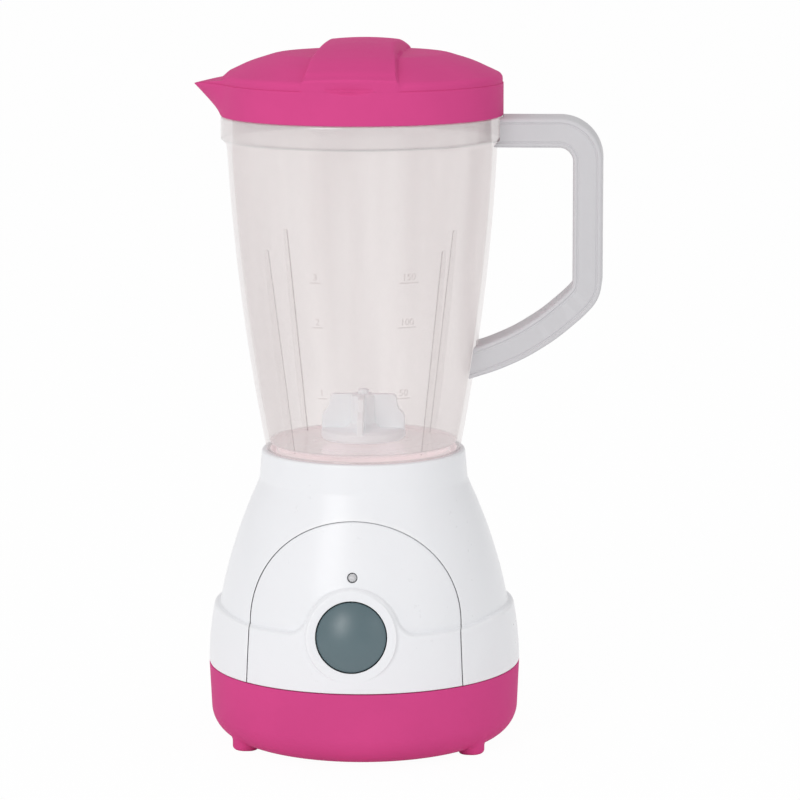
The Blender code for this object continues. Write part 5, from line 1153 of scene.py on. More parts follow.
@dataclass(frozen=True)
class Handle:
    """The grey handle: a bow of even width whose faces have a fine groove inside each edge."""

    thickness: float = 0.0102
    depth: float = 0.0210
    edge: float = 0.0012
    groove: Span = (0.0033, 0.00045, 0.00035)
    socket_root: float = 0.0050
    socket_gap: float = 0.0003
    line: tuple[tuple[float, ...], ...] = (
        (0.0400, 0.2168),
        (0.0795, 0.2168, 0.0100),
        (0.0795, 0.1612, 0.0090),
        (0.0745, 0.1559, 0.0500),
        (0.0660, 0.1486, 0.0650),
        (0.0558, 0.1421, 0.0650),
        (0.0460, 0.1378, 0.0600),
        (0.0360, 0.1346),
    )

    def section(self) -> Outline:
        """The bar's section, across it and along its depth.

        Returns:
            The closed outline.
        """
        across, deep = self.thickness / 2, self.depth / 2
        out, wide, low = self.groove
        face = [
            (across, deep, self.edge),
            (out + wide, deep, 0.00012),
            (out + wide / 3, deep - low, 0.00012),
            (out - wide / 3, deep - low, 0.00012),
            (out - wide, deep - low * 0.35, 0.00012),
        ]
        upper = face + [(-a, *rest) for a, *rest in reversed(face)]
        lower = [(-a, -b, *rest) for a, b, *rest in upper]
        return rounded(upper + lower, 4, closed=True)

    def build(self, jar: Jar, material: bpy.types.Material) -> None:
        """Make the handle.

        Args:
            jar: The jar that it hugs.
            material: Its plastic.
        """
        path = [Vector((x, z)) for x, z in spaced(rounded(self.line, 20), 0.0035)]
        section = self.section()
        rings = []
        for index, here in enumerate(path):
            run = (path[min(index + 1, len(path) - 1)] - path[max(index - 1, 0)]).normalized()
            side = Vector((-run.y, run.x))
            spots = [(here + side * across, deep) for across, deep in section]
            rings.append([(spot.x, deep, spot.y) for spot, deep in spots])
        bow = Solid.lofted("handle_bow", np.array(rings))
        skin = jar.outside(0.0003)
        hug = Solid.turned("hug", [(0.0, 0.2400), (skin[1][0], 0.2400)] + skin[1:] + [(0.0, jar.seat_z)], 160)
        bow.cut(hug, *[jar.lug(*place, self.socket_root, self.socket_gap) for place in jar.lug_places()])
        bow.finish(Body.JAR, material, "grey_plastic", "handle")


@dataclass(frozen=True)
class Blade:
    """The white toy blade: a turned foot, four stepped vanes and a post."""

    low_z: float = 0.1070
    radius: float = 0.0150
    disc: float = 0.0040
    thickness: float = 0.0022
    side: tuple[tuple[float, ...], ...] = (
        (0.0148, 0.1085),
        (0.0148, 0.1156, 0.0020),
        (0.0124, 0.1184, 0.0016),
        (0.0117, 0.1230, 0.0016),
    )

    def build(self, material: bpy.types.Material) -> None:
        """Make the toy blade.

        Args:
            material: Its plastic.
        """
        top = self.low_z + self.disc
        foot = [
            (0.0, self.low_z),
            (self.radius - 0.0008, self.low_z, 0.0005),
            (self.radius, self.low_z + 0.0008, 0.0004),
            (self.radius, top - 0.0010, 0.0006),
            (self.radius - 0.0012, top, 0.0006),
            (0.0062, top, 0.0012),
            (0.0045, top + 0.0016, 0.0012),
            (0.0043, 0.1222, 0.0004),
            (0.0036, 0.1230, 0.0004),
            (0.0019, 0.1230, 0.0003),
            (0.0017, 0.1246, 0.0005),
            (0.0, 0.1250),
        ]
        rotor = Solid.turned("toy_blade", rounded(foot, 4), 72)
        vanes = []
        for index in range(2):
            outline = rounded(mirrored(self.side), 5)
            vane = Solid.plate(f"vane_{index}", outline, -self.thickness / 2, self.thickness / 2)
            vanes.append(vane.upright().bevel(0.0004, 3).spun(90.0 * index))
        rotor.join(*vanes)
        rotor.cut(Solid.rod("bore", 0.0018, self.low_z - 0.001, 0.1181))
        rotor.finish(Body.BLADE, material, "blade_plastic", "blade_rotor", 38.0)


@dataclass(frozen=True)
class Base:
    """The form that the white housing and the front panel share."""

    seam_z: float = 0.0265
    seam_gap: float = 0.0003
    radius: float = 0.0557
    hood_lean: float = 0.0061
    ledge_inset: float = 0.0042
    ledge_z: float = 0.0485
    neck_top: tuple[float, float] = (0.0377, 0.0915)
    bulge: float = 0.00145
    wall: float = 0.0020
    arch_radius: float = 0.0370
    arch_z: float = 0.0475
    arch_flare: float = 0.0435
    button_z: float = 0.0462
    button_tilt: float = 9.8
    hood_radius: float = 0.0168
    hood_top: float = 0.0637
    hood_drop: float = 0.0004
    dip: Span = (0.0020, 0.0360, 0.0535)
    swoop: float = 0.0055
    profile_steps: int = 24
    skin_steps: int = 42
    arch_steps: int = 96
    dip_low: tuple[float, float] = (0.0290, 0.0440)
    dip_high: tuple[float, float] = (0.0540, 0.0820)
    bezel_inset: float = 0.0010
    step: tuple[tuple[float, float], ...] = (
        (-0.00045, 0.0),
        (-0.00030, 0.03),
        (-0.00017, 0.09),
        (-0.00006, 0.19),
        (0.0, 0.32),
        (0.00004, 0.44),
        (0.00010, 0.58),
        (0.00022, 0.72),
        (0.00040, 0.84),
        (0.00064, 0.93),
        (0.00092, 0.98),
        (0.00128, 1.0),
    )

    def band(self) -> Outline:
        """The plinth band's profile, carried on up to the top of the hood."""
        top = (self.radius - self.hood_lean, self.hood_top)
        return band_profile((self.radius, self.seam_z), top, self.bulge, self.profile_steps)

    def neck(self) -> Outline:
        """The neck's profile."""
        foot = (self.radius - self.ledge_inset, self.ledge_z)
        return band_profile(foot, self.neck_top, self.bulge, self.profile_steps)

    def skin(self, high: float, low: float, inset: float = 0.0) -> Outline:
        """The outer surface from the neck over the ledge down to the band.

        Args:
            high: Where it starts.
            low: Where it ends.
            inset: How far inside the outer face.

        Returns:
            The (radius, height) points, downwards.
        """
        heights = {float(z) for z in np.linspace(high, low, self.skin_steps)} | {self.ledge_z - d for d, _ in self.step}
        heights |= {self.ledge_z - d - 0.00002 for d, _ in self.step[3:6]}
        kept = np.array(sorted((z for z in heights if low <= z <= high), reverse=True))
        radius = self.radius_at(kept, self.step_at(self.ledge_z - kept)) - inset
        return [(float(r), float(z)) for r, z in zip(radius, kept)]

    def arch(self, offset: float, low: float, step: float = 0.0012) -> Outline:
        """The arch's outline in (x, z).

        Args:
            offset: How far outside the arch.
            low: The height of its foot.
            step: How long its segments are.

        Returns:
            The closed outline, from the left foot over the right one.
        """
        radius = self.arch_radius + offset
        foot = radius + self.arch_flare * (self.arch_z - low)
        round_part = arc((0.0, self.arch_z), radius, 0.0, 180.0, self.arch_steps)
        return spaced([(-foot, low), (foot, low), *round_part, (-foot, low)], step)[:-1]

    def inside_arch(self, x: np.ndarray, z: np.ndarray, offset: float, low: float) -> np.ndarray:
        """How far points lie inside the arch's outline.

        Args:
            x: Their places across.
            z: Their heights.
            offset: How far outside the arch the outline runs.
            low: The height of its foot.

        Returns:
            The distances, negative outside.
        """
        radius = self.arch_radius + offset
        above = radius - np.hypot(x, z - self.arch_z)
        below = radius + self.arch_flare * (self.arch_z - z) - np.abs(x)
        return np.minimum(np.where(z > self.arch_z, above, below), z - low)

    def hood_share(self, x: np.ndarray, z: np.ndarray) -> np.ndarray:
        """How far the surface has risen from the neck to the band at points on the front."""
        return self.step_at(self.hood_distance(x, z))

    def hood_distance(self, x: np.ndarray, z: np.ndarray) -> np.ndarray:
        """How far points lie inside the outline of the ledge and the hood with its hollow sweeps.

        Args:
            x: Their places across.
            z: Their heights.

        Returns:
            The distances, negative outside.
        """
        hood = np.hypot(x, z - self.button_z + self.hood_drop) - self.hood_radius
        ledge = z - self.ledge_z + self.dip_at(x)
        corner = np.hypot(np.maximum(self.swoop - hood, 0.0), np.maximum(self.swoop - ledge, 0.0))
        return corner - np.maximum(self.swoop, np.minimum(hood, ledge))

    def dip_at(self, x: np.ndarray) -> np.ndarray:
        """How far the ledge lies lower in front than at the sides."""
        deep, near, far = self.dip
        return deep * (1.0 - rise(np.abs(x), near, far))

    def dipped(self, x: np.ndarray, y: np.ndarray, z: np.ndarray) -> tuple[np.ndarray, np.ndarray, np.ndarray]:
        """Lower the ledge of a turned skin in front, with the radius that belongs to its new height.

        Args:
            x: The points' places across.
            y: Their places along.
            z: Their heights.

        Returns:
            The moved points.
        """
        weight = rise(z, *self.dip_low) * (1.0 - rise(z, *self.dip_high)) * (y < 0.0)
        lower = z - self.dip_at(x) * weight
        share = self.step_at(self.ledge_z - z)
        change = self.radius_at(lower, share) - self.radius_at(z, share)
        grow = 1.0 + change / np.maximum(np.hypot(x, y), 0.001)
        return x * grow, y * grow, lower

    def band_at(self, z: np.ndarray) -> np.ndarray:
        """The band's radius at some heights."""
        return np.interp(z, *zip(*[(p[1], p[0]) for p in self.band()]))

    def neck_at(self, z: np.ndarray) -> np.ndarray:
        """The neck's radius at some heights."""
        return np.interp(z, *zip(*[(p[1], p[0]) for p in self.neck()]))

    def step_at(self, inside: np.ndarray) -> np.ndarray:
        """How far the surface has risen from the neck to the band, by the distance inside their edge."""
        return np.interp(inside, *zip(*self.step))

    def radius_at(self, z: np.ndarray, share: np.ndarray) -> np.ndarray:
        """The radius at some heights where the surface has risen by a share from the neck to the band."""
        return self.neck_at(z) + (self.band_at(z) - self.neck_at(z)) * share

    @property
    def low_z(self) -> float:
        """The height of the lower edge of the housing and the panel."""
        return self.seam_z + self.seam_gap

    def skin_at(self, x: np.ndarray, z: np.ndarray, inset: float = 0.0) -> np.ndarray:
        """How far in front of the axis the surface with its hood stands."""
        radius = self.radius_at(z, self.hood_share(x, z)) - inset
        return np.sqrt(np.maximum(radius ** 2 - x ** 2, 0.0))

    def frame(self) -> Matrix:
        """The button's own frame: Z out along its axis, Y up the panel, origin on the bezel's face.

        Returns:
            The matrix.
        """
        reach = float(self.band_at(np.array(self.button_z))) - self.bezel_inset
        turn = Matrix.Rotation(math.radians(90.0 - self.button_tilt), 4, "X")
        return Matrix.Translation((0.0, -reach, self.button_z)) @ turn


@dataclass(frozen=True)
class Housing:
    """The white base housing: rim, jar well, neck, ledge and plinth band."""

    base: Base
    rim_z: float = 0.1035
    rim_radius: float = 0.0362
    well_radius: float = 0.0337
    well_floor: float = 0.0935
    neck_bend: Span = (0.0371, 0.0928, 0.0060)
    bearing: tuple[float, float, float, float] = (0.0065, 0.0037, 0.0030, 0.0016)

    def build(self, material: bpy.types.Material) -> None:
        """Make the housing.

        Args:
            material: Its plastic.
        """
        low = self.base.low_z
        under = self.well_floor - self.base.wall
        skin = self.base.skin(0.0855, low + 0.0004)
        rim = [
            (self.well_radius + 0.0010, self.rim_z),
            (self.rim_radius, self.rim_z, 0.0010),
            self.neck_bend,
            skin[0],
        ]
        outer, bore, down, up = self.bearing
        well = [
            (outer, under),
            (outer, under - down),
            (bore, under - down),
            (bore, self.well_floor + up, 0.0002),
            (outer, self.well_floor + up, 0.0004),
            (outer + 0.0002, self.well_floor, 0.0006),
            (self.well_radius, self.well_floor, 0.0012),
            (self.well_radius, self.rim_z, 0.0005),
            (self.well_radius + 0.0010, self.rim_z),
        ]
        inner = self.base.skin(under, low, self.base.wall)[::-1]
        foot = [(self.base.radius - 0.0002, low), (inner[0][0], low)]
        profile = rounded(rim, 7) + skin[1:] + foot + inner[1:] + rounded([inner[-1], *well], 4)[1:-1]
        shell = Solid.turned("housing_shell", profile, graded_angles([227.0, 313.0], 14.0, 1.0, 2.0), self.base.dipped)
        arch = Solid.plate("arch", self.base.arch(self.base.seam_gap / 2, low - 0.01), 0.0200, 0.0600).upright()
        keys = [
            Solid.block("key", (0.0290, -0.0020, 0.0925), (0.0345, 0.0020, 0.0985)).bevel(0.0003).spun(turn)
            for turn in KEY_TURNS
        ]
        shell.cut(arch).join(*keys)
        shell.finish(Body.ROOT, material, "white_plastic", "base_housing")


@dataclass(frozen=True)
class FrontPanel:
    """The white arch panel: hood round the button, bezel, lamp hole, rebate lip and button guide."""

    base: Base
    thickness: float = 0.0020
    edge: float = 0.00040
    bezel_radius: float = 0.0158
    bezel_edge: tuple[tuple[float, float], ...] = (
        (-0.0005, 0.0),
        (-0.0003, 0.08),
        (-0.000125, 0.26),
        (0.0, 0.5),
        (0.0001, 0.82),
        (0.0002, 0.95),
        (0.0004, 1.0),
    )
    bore_radius: float = 0.0125
    bore_edge: float = 0.00012
    guide: tuple[float, float] = (0.0143, 0.0050)
    lamp_at: float = 0.0205
    lamp_radius: float = 0.0018
    lip_reach: tuple[float, float] = (-0.0030, 0.0025)
    lip_low: float = 0.0298
    lip_steps: int = 140
    lip_depths: tuple[float, float] = (0.0023, 0.0035)
    mesh_step: float = 0.0009
    mesh_half: float = 0.0378
    mesh_top: float = 0.0850
    lamp_edge: float = 0.0002

    def local(self, x: np.ndarray, z: np.ndarray, depth: np.ndarray, up: float = 0.0) -> np.ndarray:
        """How far surface points lie from an axis that is parallel to the button's.

        Args:
            x: Their places across.
            z: Their heights.
            depth: How far in front of the jar's axis they stand.
            up: How far above the button's axis that axis runs.

        Returns:
            The distances.
        """
        frame = self.base.frame()
        tilt = math.radians(self.base.button_tilt)
        along = (-depth - frame.translation.y) * math.sin(tilt) + (z - self.base.button_z) * math.cos(tilt)
        return np.hypot(x, along - up)

    def ring(self, radius: float, up: float, steps: int) -> Outline:
        """The (x, z) points of the surface at one distance from such an axis.

        Args:
            radius: The distance.
            up: How far above the button's axis that axis runs.
            steps: How many points there are.

        Returns:
            The points.
        """
        frame = self.base.frame()
        tilt = math.radians(self.base.button_tilt)
        angle = np.arange(steps) * math.tau / steps
        x, along = radius * np.cos(angle), radius * np.sin(angle) + up
        z = self.base.button_z + along
        for _ in range(6):
            depth = self.surface(x, z)
            z = self.base.button_z + (along - (-depth - frame.translation.y) * math.sin(tilt)) / math.cos(tilt)
        return list(zip(x.tolist(), z.tolist()))

    def surface(self, x: np.ndarray, z: np.ndarray) -> np.ndarray:
        """How far the finished front stands before the jar's axis.

        Args:
            x: Places across.
            z: Heights.

        Returns:
            The distances.
        """
        depth = self.base.skin_at(x, z)
        tilt = math.tan(math.radians(self.base.button_tilt))
        flat = -self.base.frame().translation.y - (z - self.base.button_z) * tilt
        inside = self.bezel_radius - self.local(x, z, depth)
        share = np.interp(inside, *zip(*self.bezel_edge))
        depth = depth + (flat - depth) * share
        holes = (
            (self.bore_radius, 0.0, self.bore_edge),
            (self.lamp_radius, self.lamp_at, self.lamp_edge),
        )
        for radius, up, edge in holes:
            depth = depth - self._round_over(self.local(x, z, depth, up) - radius, edge)
        inside = self.base.inside_arch(x, z, -self.base.seam_gap / 2, self.base.low_z)
        return depth - self._round_over(inside, self.edge)

    @staticmethod
    def _round_over(distance: np.ndarray, edge: float) -> np.ndarray:
        """How far a rounded edge falls away."""
        near = np.clip(edge - distance, 0.0, edge)
        return edge - np.sqrt(edge ** 2 - near ** 2)

    def points(self) -> tuple[list[tuple[float, float]], list[tuple[int, int]]]:
        """The points and lines from which the front is meshed.

        Returns:
            The (x, z) points and the pairs that are joined by a line.
        """
        base, low = self.base, self.base.low_z
        rings: list[tuple[Outline, bool]] = []
        for inset in (0.0, 0.00005, 0.00014, 0.00027, 0.00040, 0.00085):
            rings.append((base.arch(-base.seam_gap / 2 - inset, low + inset, 0.0009), True))
        angles = np.radians(np.linspace(8.0, 172.0, 300))
        foot = base.button_z - 0.0062
        for distance, _ in base.step:
            near, far = np.full_like(angles, 0.001), np.full_like(angles, 0.060)
            for _ in range(40):
                middle = (near + far) / 2
                out = base.hood_distance(middle * np.cos(angles), foot + middle * np.sin(angles)) < distance
                near, far = np.where(out, near, middle), np.where(out, middle, far)
            line = list(zip((near * np.cos(angles)).tolist(), (foot + near * np.sin(angles)).tolist()))
            rings.append((line, False))
        round_edges = (
            (self.bezel_radius, 0.0, 160, (0.00055, 0.00032, 0.00014, 0.0, -0.00010, -0.00020, -0.00042, -0.0010)),
            (self.bore_radius, 0.0, 128, (0.0, 0.00003, 0.00007, 0.00013, 0.0007)),
            (self.lamp_radius, self.lamp_at, 36, (0.0, 0.00004, 0.00010, 0.00020, 0.0006)),
        )
        for radius, up, count, extras in round_edges:
            rings += [(self.ring(radius + extra, up, count), True) for extra in extras]
        spots: list[tuple[float, float]] = []
        lines: list[tuple[int, int]] = []
        for ring, closed in rings:
            first = len(spots)
            spots += ring
            lines += [(first + i, first + i + 1) for i in range(len(ring) - 1)]
            if closed:
                lines.append((first + len(ring) - 1, first))
        known = np.array(spots)
        step = self.mesh_step
        for z in np.arange(low + step, self.mesh_top, step):
            row = np.arange(-self.mesh_half, self.mesh_half, step)
            gaps = np.hypot(row[:, None] - known[None, :, 0], z - known[None, :, 1]).min(axis=1)
            spots += [(float(x), float(z)) for x in row[gaps > step * 0.55]]
        return spots, lines

    def sheet(self) -> Solid:
        """The panel's wall with its rounded edges.

        Returns:
            The solid.
        """
        spots, lines = self.points()
        result = delaunay_2d_cdt([Vector(p) for p in spots], lines, [], 0, 0.0000005)
        flat = np.array([tuple(p) for p in result[0]])
        x, z = flat[:, 0], flat[:, 1]
        low = self.base.low_z
        triangles = np.array([tuple(face) for face in result[2]])
        mid_x, mid_z = x[triangles].mean(axis=1), z[triangles].mean(axis=1)
        depth = self.surface(mid_x, mid_z)
        kept = self.base.inside_arch(mid_x, mid_z, -self.base.seam_gap / 2, low) > 0.0
        kept &= self.local(mid_x, mid_z, depth) > self.bore_radius
        kept &= self.local(mid_x, mid_z, depth, self.lamp_at) > self.lamp_radius
        triangles = triangles[kept]
        front = np.stack([x, -self.surface(x, z), z], axis=-1)
        inner = rise(self.base.inside_arch(x, z, 0.0, low), 0.001, 0.006)[:, None]
        tilt = math.radians(self.base.button_tilt)
        inwards = np.array([0.0, 1.0, 0.0]) * (1.0 - inner) + np.array([0.0, math.cos(tilt), -math.sin(tilt)]) * inner
        back = front + inwards * self.thickness
        count = len(front)
        faces = [tuple(t) for t in triangles] + [tuple(t[::-1] + count) for t in triangles]
        edges: dict[tuple[int, int], int] = {}
        for t in triangles:
            for a, b in ((t[0], t[1]), (t[1], t[2]), (t[2], t[0])):
                edges[(min(a, b), max(a, b))] = edges.get((min(a, b), max(a, b)), 0) + 1
        faces += [(a, b, b + count, a + count) for (a, b), uses in edges.items() if uses == 1]
        used = sorted({int(i) for face in faces for i in face})
        number = {old: new for new, old in enumerate(used)}
        every = np.concatenate([front, back])
        return Solid.from_points("panel_front", every[used], [[number[int(i)] for i in face] for face in faces])

    def lip(self) -> Solid:
        """The rebate lip that lies behind the housing's edge.

        Returns:
            The solid.
        """
        rows = [self.base.arch(offset, self.lip_low) for offset in self.lip_reach]
        lines = []
        for row in rows:
            foot = row.index(max(row[: len(row) // 2], key=lambda p: p[0]))
            path = row[foot:]
            lengths = np.concatenate([[0.0], np.cumsum([math.dist(a, b) for a, b in zip(path, path[1:])])])
            spots = np.linspace(0.0, lengths[-1], self.lip_steps)
            lines.append([np.interp(spots, lengths, [p[i] for p in path]) for i in (0, 1)])
        inner, outer = lines
        corners = []
        near, far = self.lip_depths
        for (x, z), inset in ((inner, near), (outer, near), (outer, far), (inner, far)):
            on_band = z < self.base.ledge_z - self.base.dip_at(x) - inset
            radius = self.base.radius_at(z, on_band) - inset
            corners.append(np.stack([x, -np.sqrt(radius ** 2 - x ** 2), z], axis=-1))
        return Solid.lofted("lip", np.stack(corners, axis=1))

    def build(self, material: bpy.types.Material) -> None:
        """Make the panel.

        Args:
            material: Its plastic.
        """
        reach, deep = self.guide
        ring = [
            (self.bore_radius, -deep, 0.0003),
            (reach, -deep, 0.0003),
            (reach, -self.thickness, 0.0),
            (self.bore_radius, -self.thickness, 0.0),
        ]
        guide = Solid.turned("guide", rounded(ring, 3, closed=True), 96).moved(self.base.frame())
        self.sheet().add(self.lip(), guide).finish(Body.ROOT, material, "white_plastic", "front_panel")


@dataclass(frozen=True)
class Button:
    """The domed push button with its skirt, flange and stem."""

    radius: float = 0.0121
    dome: float = 0.00357
    edge: float = -0.0004
    rim: float = 0.0004
    flange: Span = (0.0138, -0.0053, -0.0065)
    inner: tuple[float, float] = (0.0104, -0.0010)
    stem: Span = (0.0034, 0.0012, -0.0060)
    socket: tuple[float, float] = (0.0019, -0.0030)
    fillet: float = 0.0003

    def build(self, frame: Matrix, material: bpy.types.Material) -> None:
        """Make the button.

        Args:
            frame: Its own frame.
            material: Its plastic.
        """
        sag = self.dome - self.edge
        sphere = (self.radius ** 2 + sag ** 2) / (2 * sag)
        span = math.degrees(math.asin(self.radius / sphere))
        top = arc((0.0, self.dome - sphere), sphere, 90.0, 90.0 - span, 26)
        wide, high, low = self.flange
        bore, roof = self.inner
        stem, root, end = self.stem
        hole, bottom = self.socket
        profile = top[:-1] + [
            (*top[-1], self.rim),
            (self.radius, high, self.fillet),
            (wide, high, self.fillet),
            (wide, low, self.fillet),
            (bore, low, self.fillet),
            (bore, roof, 0.0008),
            (stem, root, 0.0005),
            (stem, end, self.fillet),
            (hole, end),
            (hole, bottom),
            (0.0, bottom),
        ]
        cap = Solid.turned("button_dome", rounded(profile, 5), 120).moved(frame)
        cap.finish(Body.BUTTON, material, "button_plastic", "button_cap")


@dataclass(frozen=True)
class Lamp:
    """The small clear lamp with its two leads, which run up inside it to the cup and the post."""

    up: float = 0.0205
    tip: float = -0.0016
    radius: float = 0.0015
    length: float = 0.0053
    flange: tuple[float, float] = (0.0019, 0.0010)
    lead: float = 0.00025
    pitch: float = 0.00127
    lead_end: float = -0.0207

    def build(self, frame: Matrix, clear: bpy.types.Material, steel: bpy.types.Material) -> None:
        """Make the lamp and its leads.

        Args:
            frame: The button's frame.
            clear: The lamp's plastic.
            steel: The leads' metal.
        """
        place = frame @ Matrix.Translation((0.0, self.up, 0.0))
        foot = self.tip - self.length
        top = arc((0.0, self.tip - self.radius), self.radius, 90.0, 0.0, 14)
        body = top + rounded(
            [
                top[-1],
                (self.radius, foot + self.flange[1], 0.0001),
                (self.flange[0], foot + self.flange[1], 0.0002),
                (self.flange[0], foot, 0.0002),
                (0.0, foot),
            ],
            3,
        )[1:]
        lens = Solid.turned("lamp_lens", body, 48).moved(place)
        lens.finish(Body.ROOT, clear, "lamp_plastic", "led")
        for side, x, width in (("left", -self.pitch, 0.00050), ("right", self.pitch, 0.00022)):
            lead = Solid.rod("lamp_wire_" + side, self.lead, self.lead_end, foot + 0.0002, (x, 0.0), 12)
            inner = abs(x) / x * 0.00035
            wide, top_z = foot + 0.0016, self.tip - 0.0018
            bar = [
                (x - 0.0002, foot),
                (x + 0.0002, foot),
                (inner + width, wide),
                (inner + width, top_z, 0.0001),
                (inner - width, top_z, 0.0001),
                (inner - width, wide),
            ]
            cup = Solid.plate("cup", rounded(bar, 2, closed=True), -0.0002, 0.0002).upright()
            lead.add(cup).moved(place)
            lead.finish(Body.ROOT, steel, "steel", "lamp_lead_" + side)


@dataclass(frozen=True)
class BottomCover:
    """The pink cover: tray with moulded feet, tongue, screw wells and the battery pocket."""

    base: Base
    underside: float = 0.0440
    round_off: float = 0.0110
    floor: float = 0.0020
    low_z: float = 0.0
    tongue: Span = (0.0012, 0.0050, 0.0030)
    foot_at: tuple[float, float] = (0.0402, 0.0266)
    foot_radius: float = 0.0045
    foot_round: float = 0.0015
    foot_fillet: float = 0.0014
    foot_z: float = -0.0010
    foot_steps: int = 72
    well_at: tuple[float, float] = (0.0370, 0.0150)
    well_radius: float = 0.0045
    well_top: float = 0.0125
    pocket_half: float = 0.0284
    pocket_y: tuple[float, float] = (0.0048, 0.0352)
    pocket_roof: float = 0.0170
    wall: float = 0.0015
    ear_y: float = 0.0394
    ear_pad: Span = (0.0060, 0.0010, 0.0037)
    ear_boss: Span = (0.0032, 0.0030, 0.0110)
    ear_recess: Span = (0.0045, -0.0050, 0.0021)
    ear_bore: Span = (0.0017, 0.0010, 0.0071)
    sink: Span = (0.0032, -0.0050, 0.0110)
    pilot: Span = (0.0015, 0.0100, 0.0200)
    tab_x: float = 0.0140

    def outside(self) -> Outline:
        """The outer profile from the axis along the underside up to the seam.

        Returns:
            The points.
        """
        seam = self.base.seam_z
        return rounded(
            [
                (0.0, self.low_z),
                *arc((self.underside, self.low_z + self.round_off), self.round_off, -90.0, 0.0, 28),
                (self.base.radius, seam, 0.0003),
                (self.base.radius - 0.0006, seam),
            ],
            14,
        )

    def inside(self) -> Outline:
        """The inner profile from the seam over the tongue down to the axis.

        Returns:
            The points.
        """
        thick, root, tall = self.tongue
        seam = self.base.seam_z
        outer = float(self.base.band_at(np.array(seam + tall))) - 0.0023
        wall = self.base.radius - self.floor
        inner = outer - thick
        return rounded(
            [
                (self.base.radius - 0.0006, seam),
                (outer, seam, 0.0002),
                (outer, seam + tall, 0.0003),
                (inner, seam + tall, 0.0003),
                (inner, seam - root, 0.0004),
                (wall - 0.0004, seam - root - 0.0012, 0.0004),
                *arc((self.underside, self.low_z + self.round_off), self.round_off - self.floor, 0.0, -90.0, 16),
                (0.0, self.low_z + self.floor),
            ],
            8,
        )

    def foot(self, x: float, y: float) -> Solid:
        """One moulded foot with a filleted root and a rounded rim.

        Args:
            x: Where it stands across.
            y: Where it stands along.

        Returns:
            The solid.
        """
        line = list(zip(*self.outside()[:-1]))
        floor, steps = self.foot_z, self.foot_steps

        def tray(px: np.ndarray, py: np.ndarray) -> np.ndarray:
            """The height of the tray's underside at some points."""
            return np.interp(np.hypot(px, py), *line)

        angles = np.arange(steps) * math.tau / steps
        cos, sin = np.cos(angles), np.sin(angles)
        reach = self.foot_radius
        root = tray(x + reach * cos, y + reach * sin)
        fillet = np.minimum(self.foot_fillet, (root - floor) * 0.40)
        curve = np.minimum(self.foot_round, (root - floor) * 0.55)
        rings = [np.stack([x + cos * 0.0002, y + sin * 0.0002, np.full(steps, floor)], axis=-1)]
        for degrees in range(-90, 1, 15):
            out = reach - curve + curve * math.cos(math.radians(degrees))
            up = floor + curve * (1.0 + math.sin(math.radians(degrees)))
            rings.append(np.stack([x + cos * out, y + sin * out, up], axis=-1))
        for share in (0.0, 0.04, 0.12, 0.25, 0.42, 0.62, 0.82, 1.0):
            out = reach + fillet * share
            px, py = x + cos * out, y + sin * out
            hang = fillet * (1.0 - np.sqrt(1.0 - (1.0 - share) ** 2))
            rings.append(np.stack([px, py, tray(px, py) - hang + 0.00004 * (share == 1.0)], axis=-1))
        rings.append(rings[-1] + np.array([0.0, 0.0, 0.0012]))
        return Solid.lofted("foot", np.stack(rings))

    def pocket(self) -> tuple[Solid, Solid]:
        """The battery pocket's walls and roof.

        Returns:
            The block outside and the room inside.
        """
        half, (near, far), wall = self.pocket_half, self.pocket_y, self.wall
        low = (-half - wall, near - wall, self.low_z + 0.0002)
        outer = Solid.block("pocket", low, (half + wall, far + wall, self.pocket_roof + wall))
        inner = Solid.block("pocket_room", (-half, near, -0.0100), (half, far, self.pocket_roof))
        return outer.bevel(0.0006), inner

    def build(self, material: bpy.types.Material) -> None:
        """Make the cover.

        Args:
            material: Its plastic.
        """
        floor_z = self.low_z + self.floor
        cover = Solid.turned("cover_tray", self.outside() + self.inside()[1:], 180)
        outer, inner = self.pocket()
        wells = all_four(self.well_at)
        ear_at = (0.0, self.ear_y)
        posts = [
            Solid.rod("well", self.well_radius, floor_z - 0.0008, self.well_top, spot).bevel(0.0003)
            for spot in wells
        ]
        ear = Solid.rod("ear_pad", *self.ear_pad, ear_at)
        boss = Solid.rod("ear_boss", *self.ear_boss, ear_at)
        cover.join(*[self.foot(*spot) for spot in all_four(self.foot_at)])
        cover.join(outer, *posts, ear, boss)
        tools = [inner]
        for spot in wells:
            tools.append(Solid.rod("sink", *self.sink, spot))
            tools.append(Solid.rod("hole", *self.pilot, spot, 32))
        tools += [
            Solid.block("ear_gap", (-0.0045, 0.0200, -0.0050), (0.0045, self.ear_y, 0.0021)),
            Solid.rod("ear_recess", *self.ear_recess, ear_at),
            Solid.rod("ear_bore", *self.ear_bore, ear_at, 32),
        ]
        for spot in (-self.tab_x, self.tab_x):
            tools.append(Solid.block("tab_slot", (spot - 0.0046, -0.0007, 0.0020), (spot + 0.0046, 0.0200, 0.0062)))
        cover.cut(*tools)
        cover.finish(Body.ROOT, material, "pink_plastic", "bottom_cover")


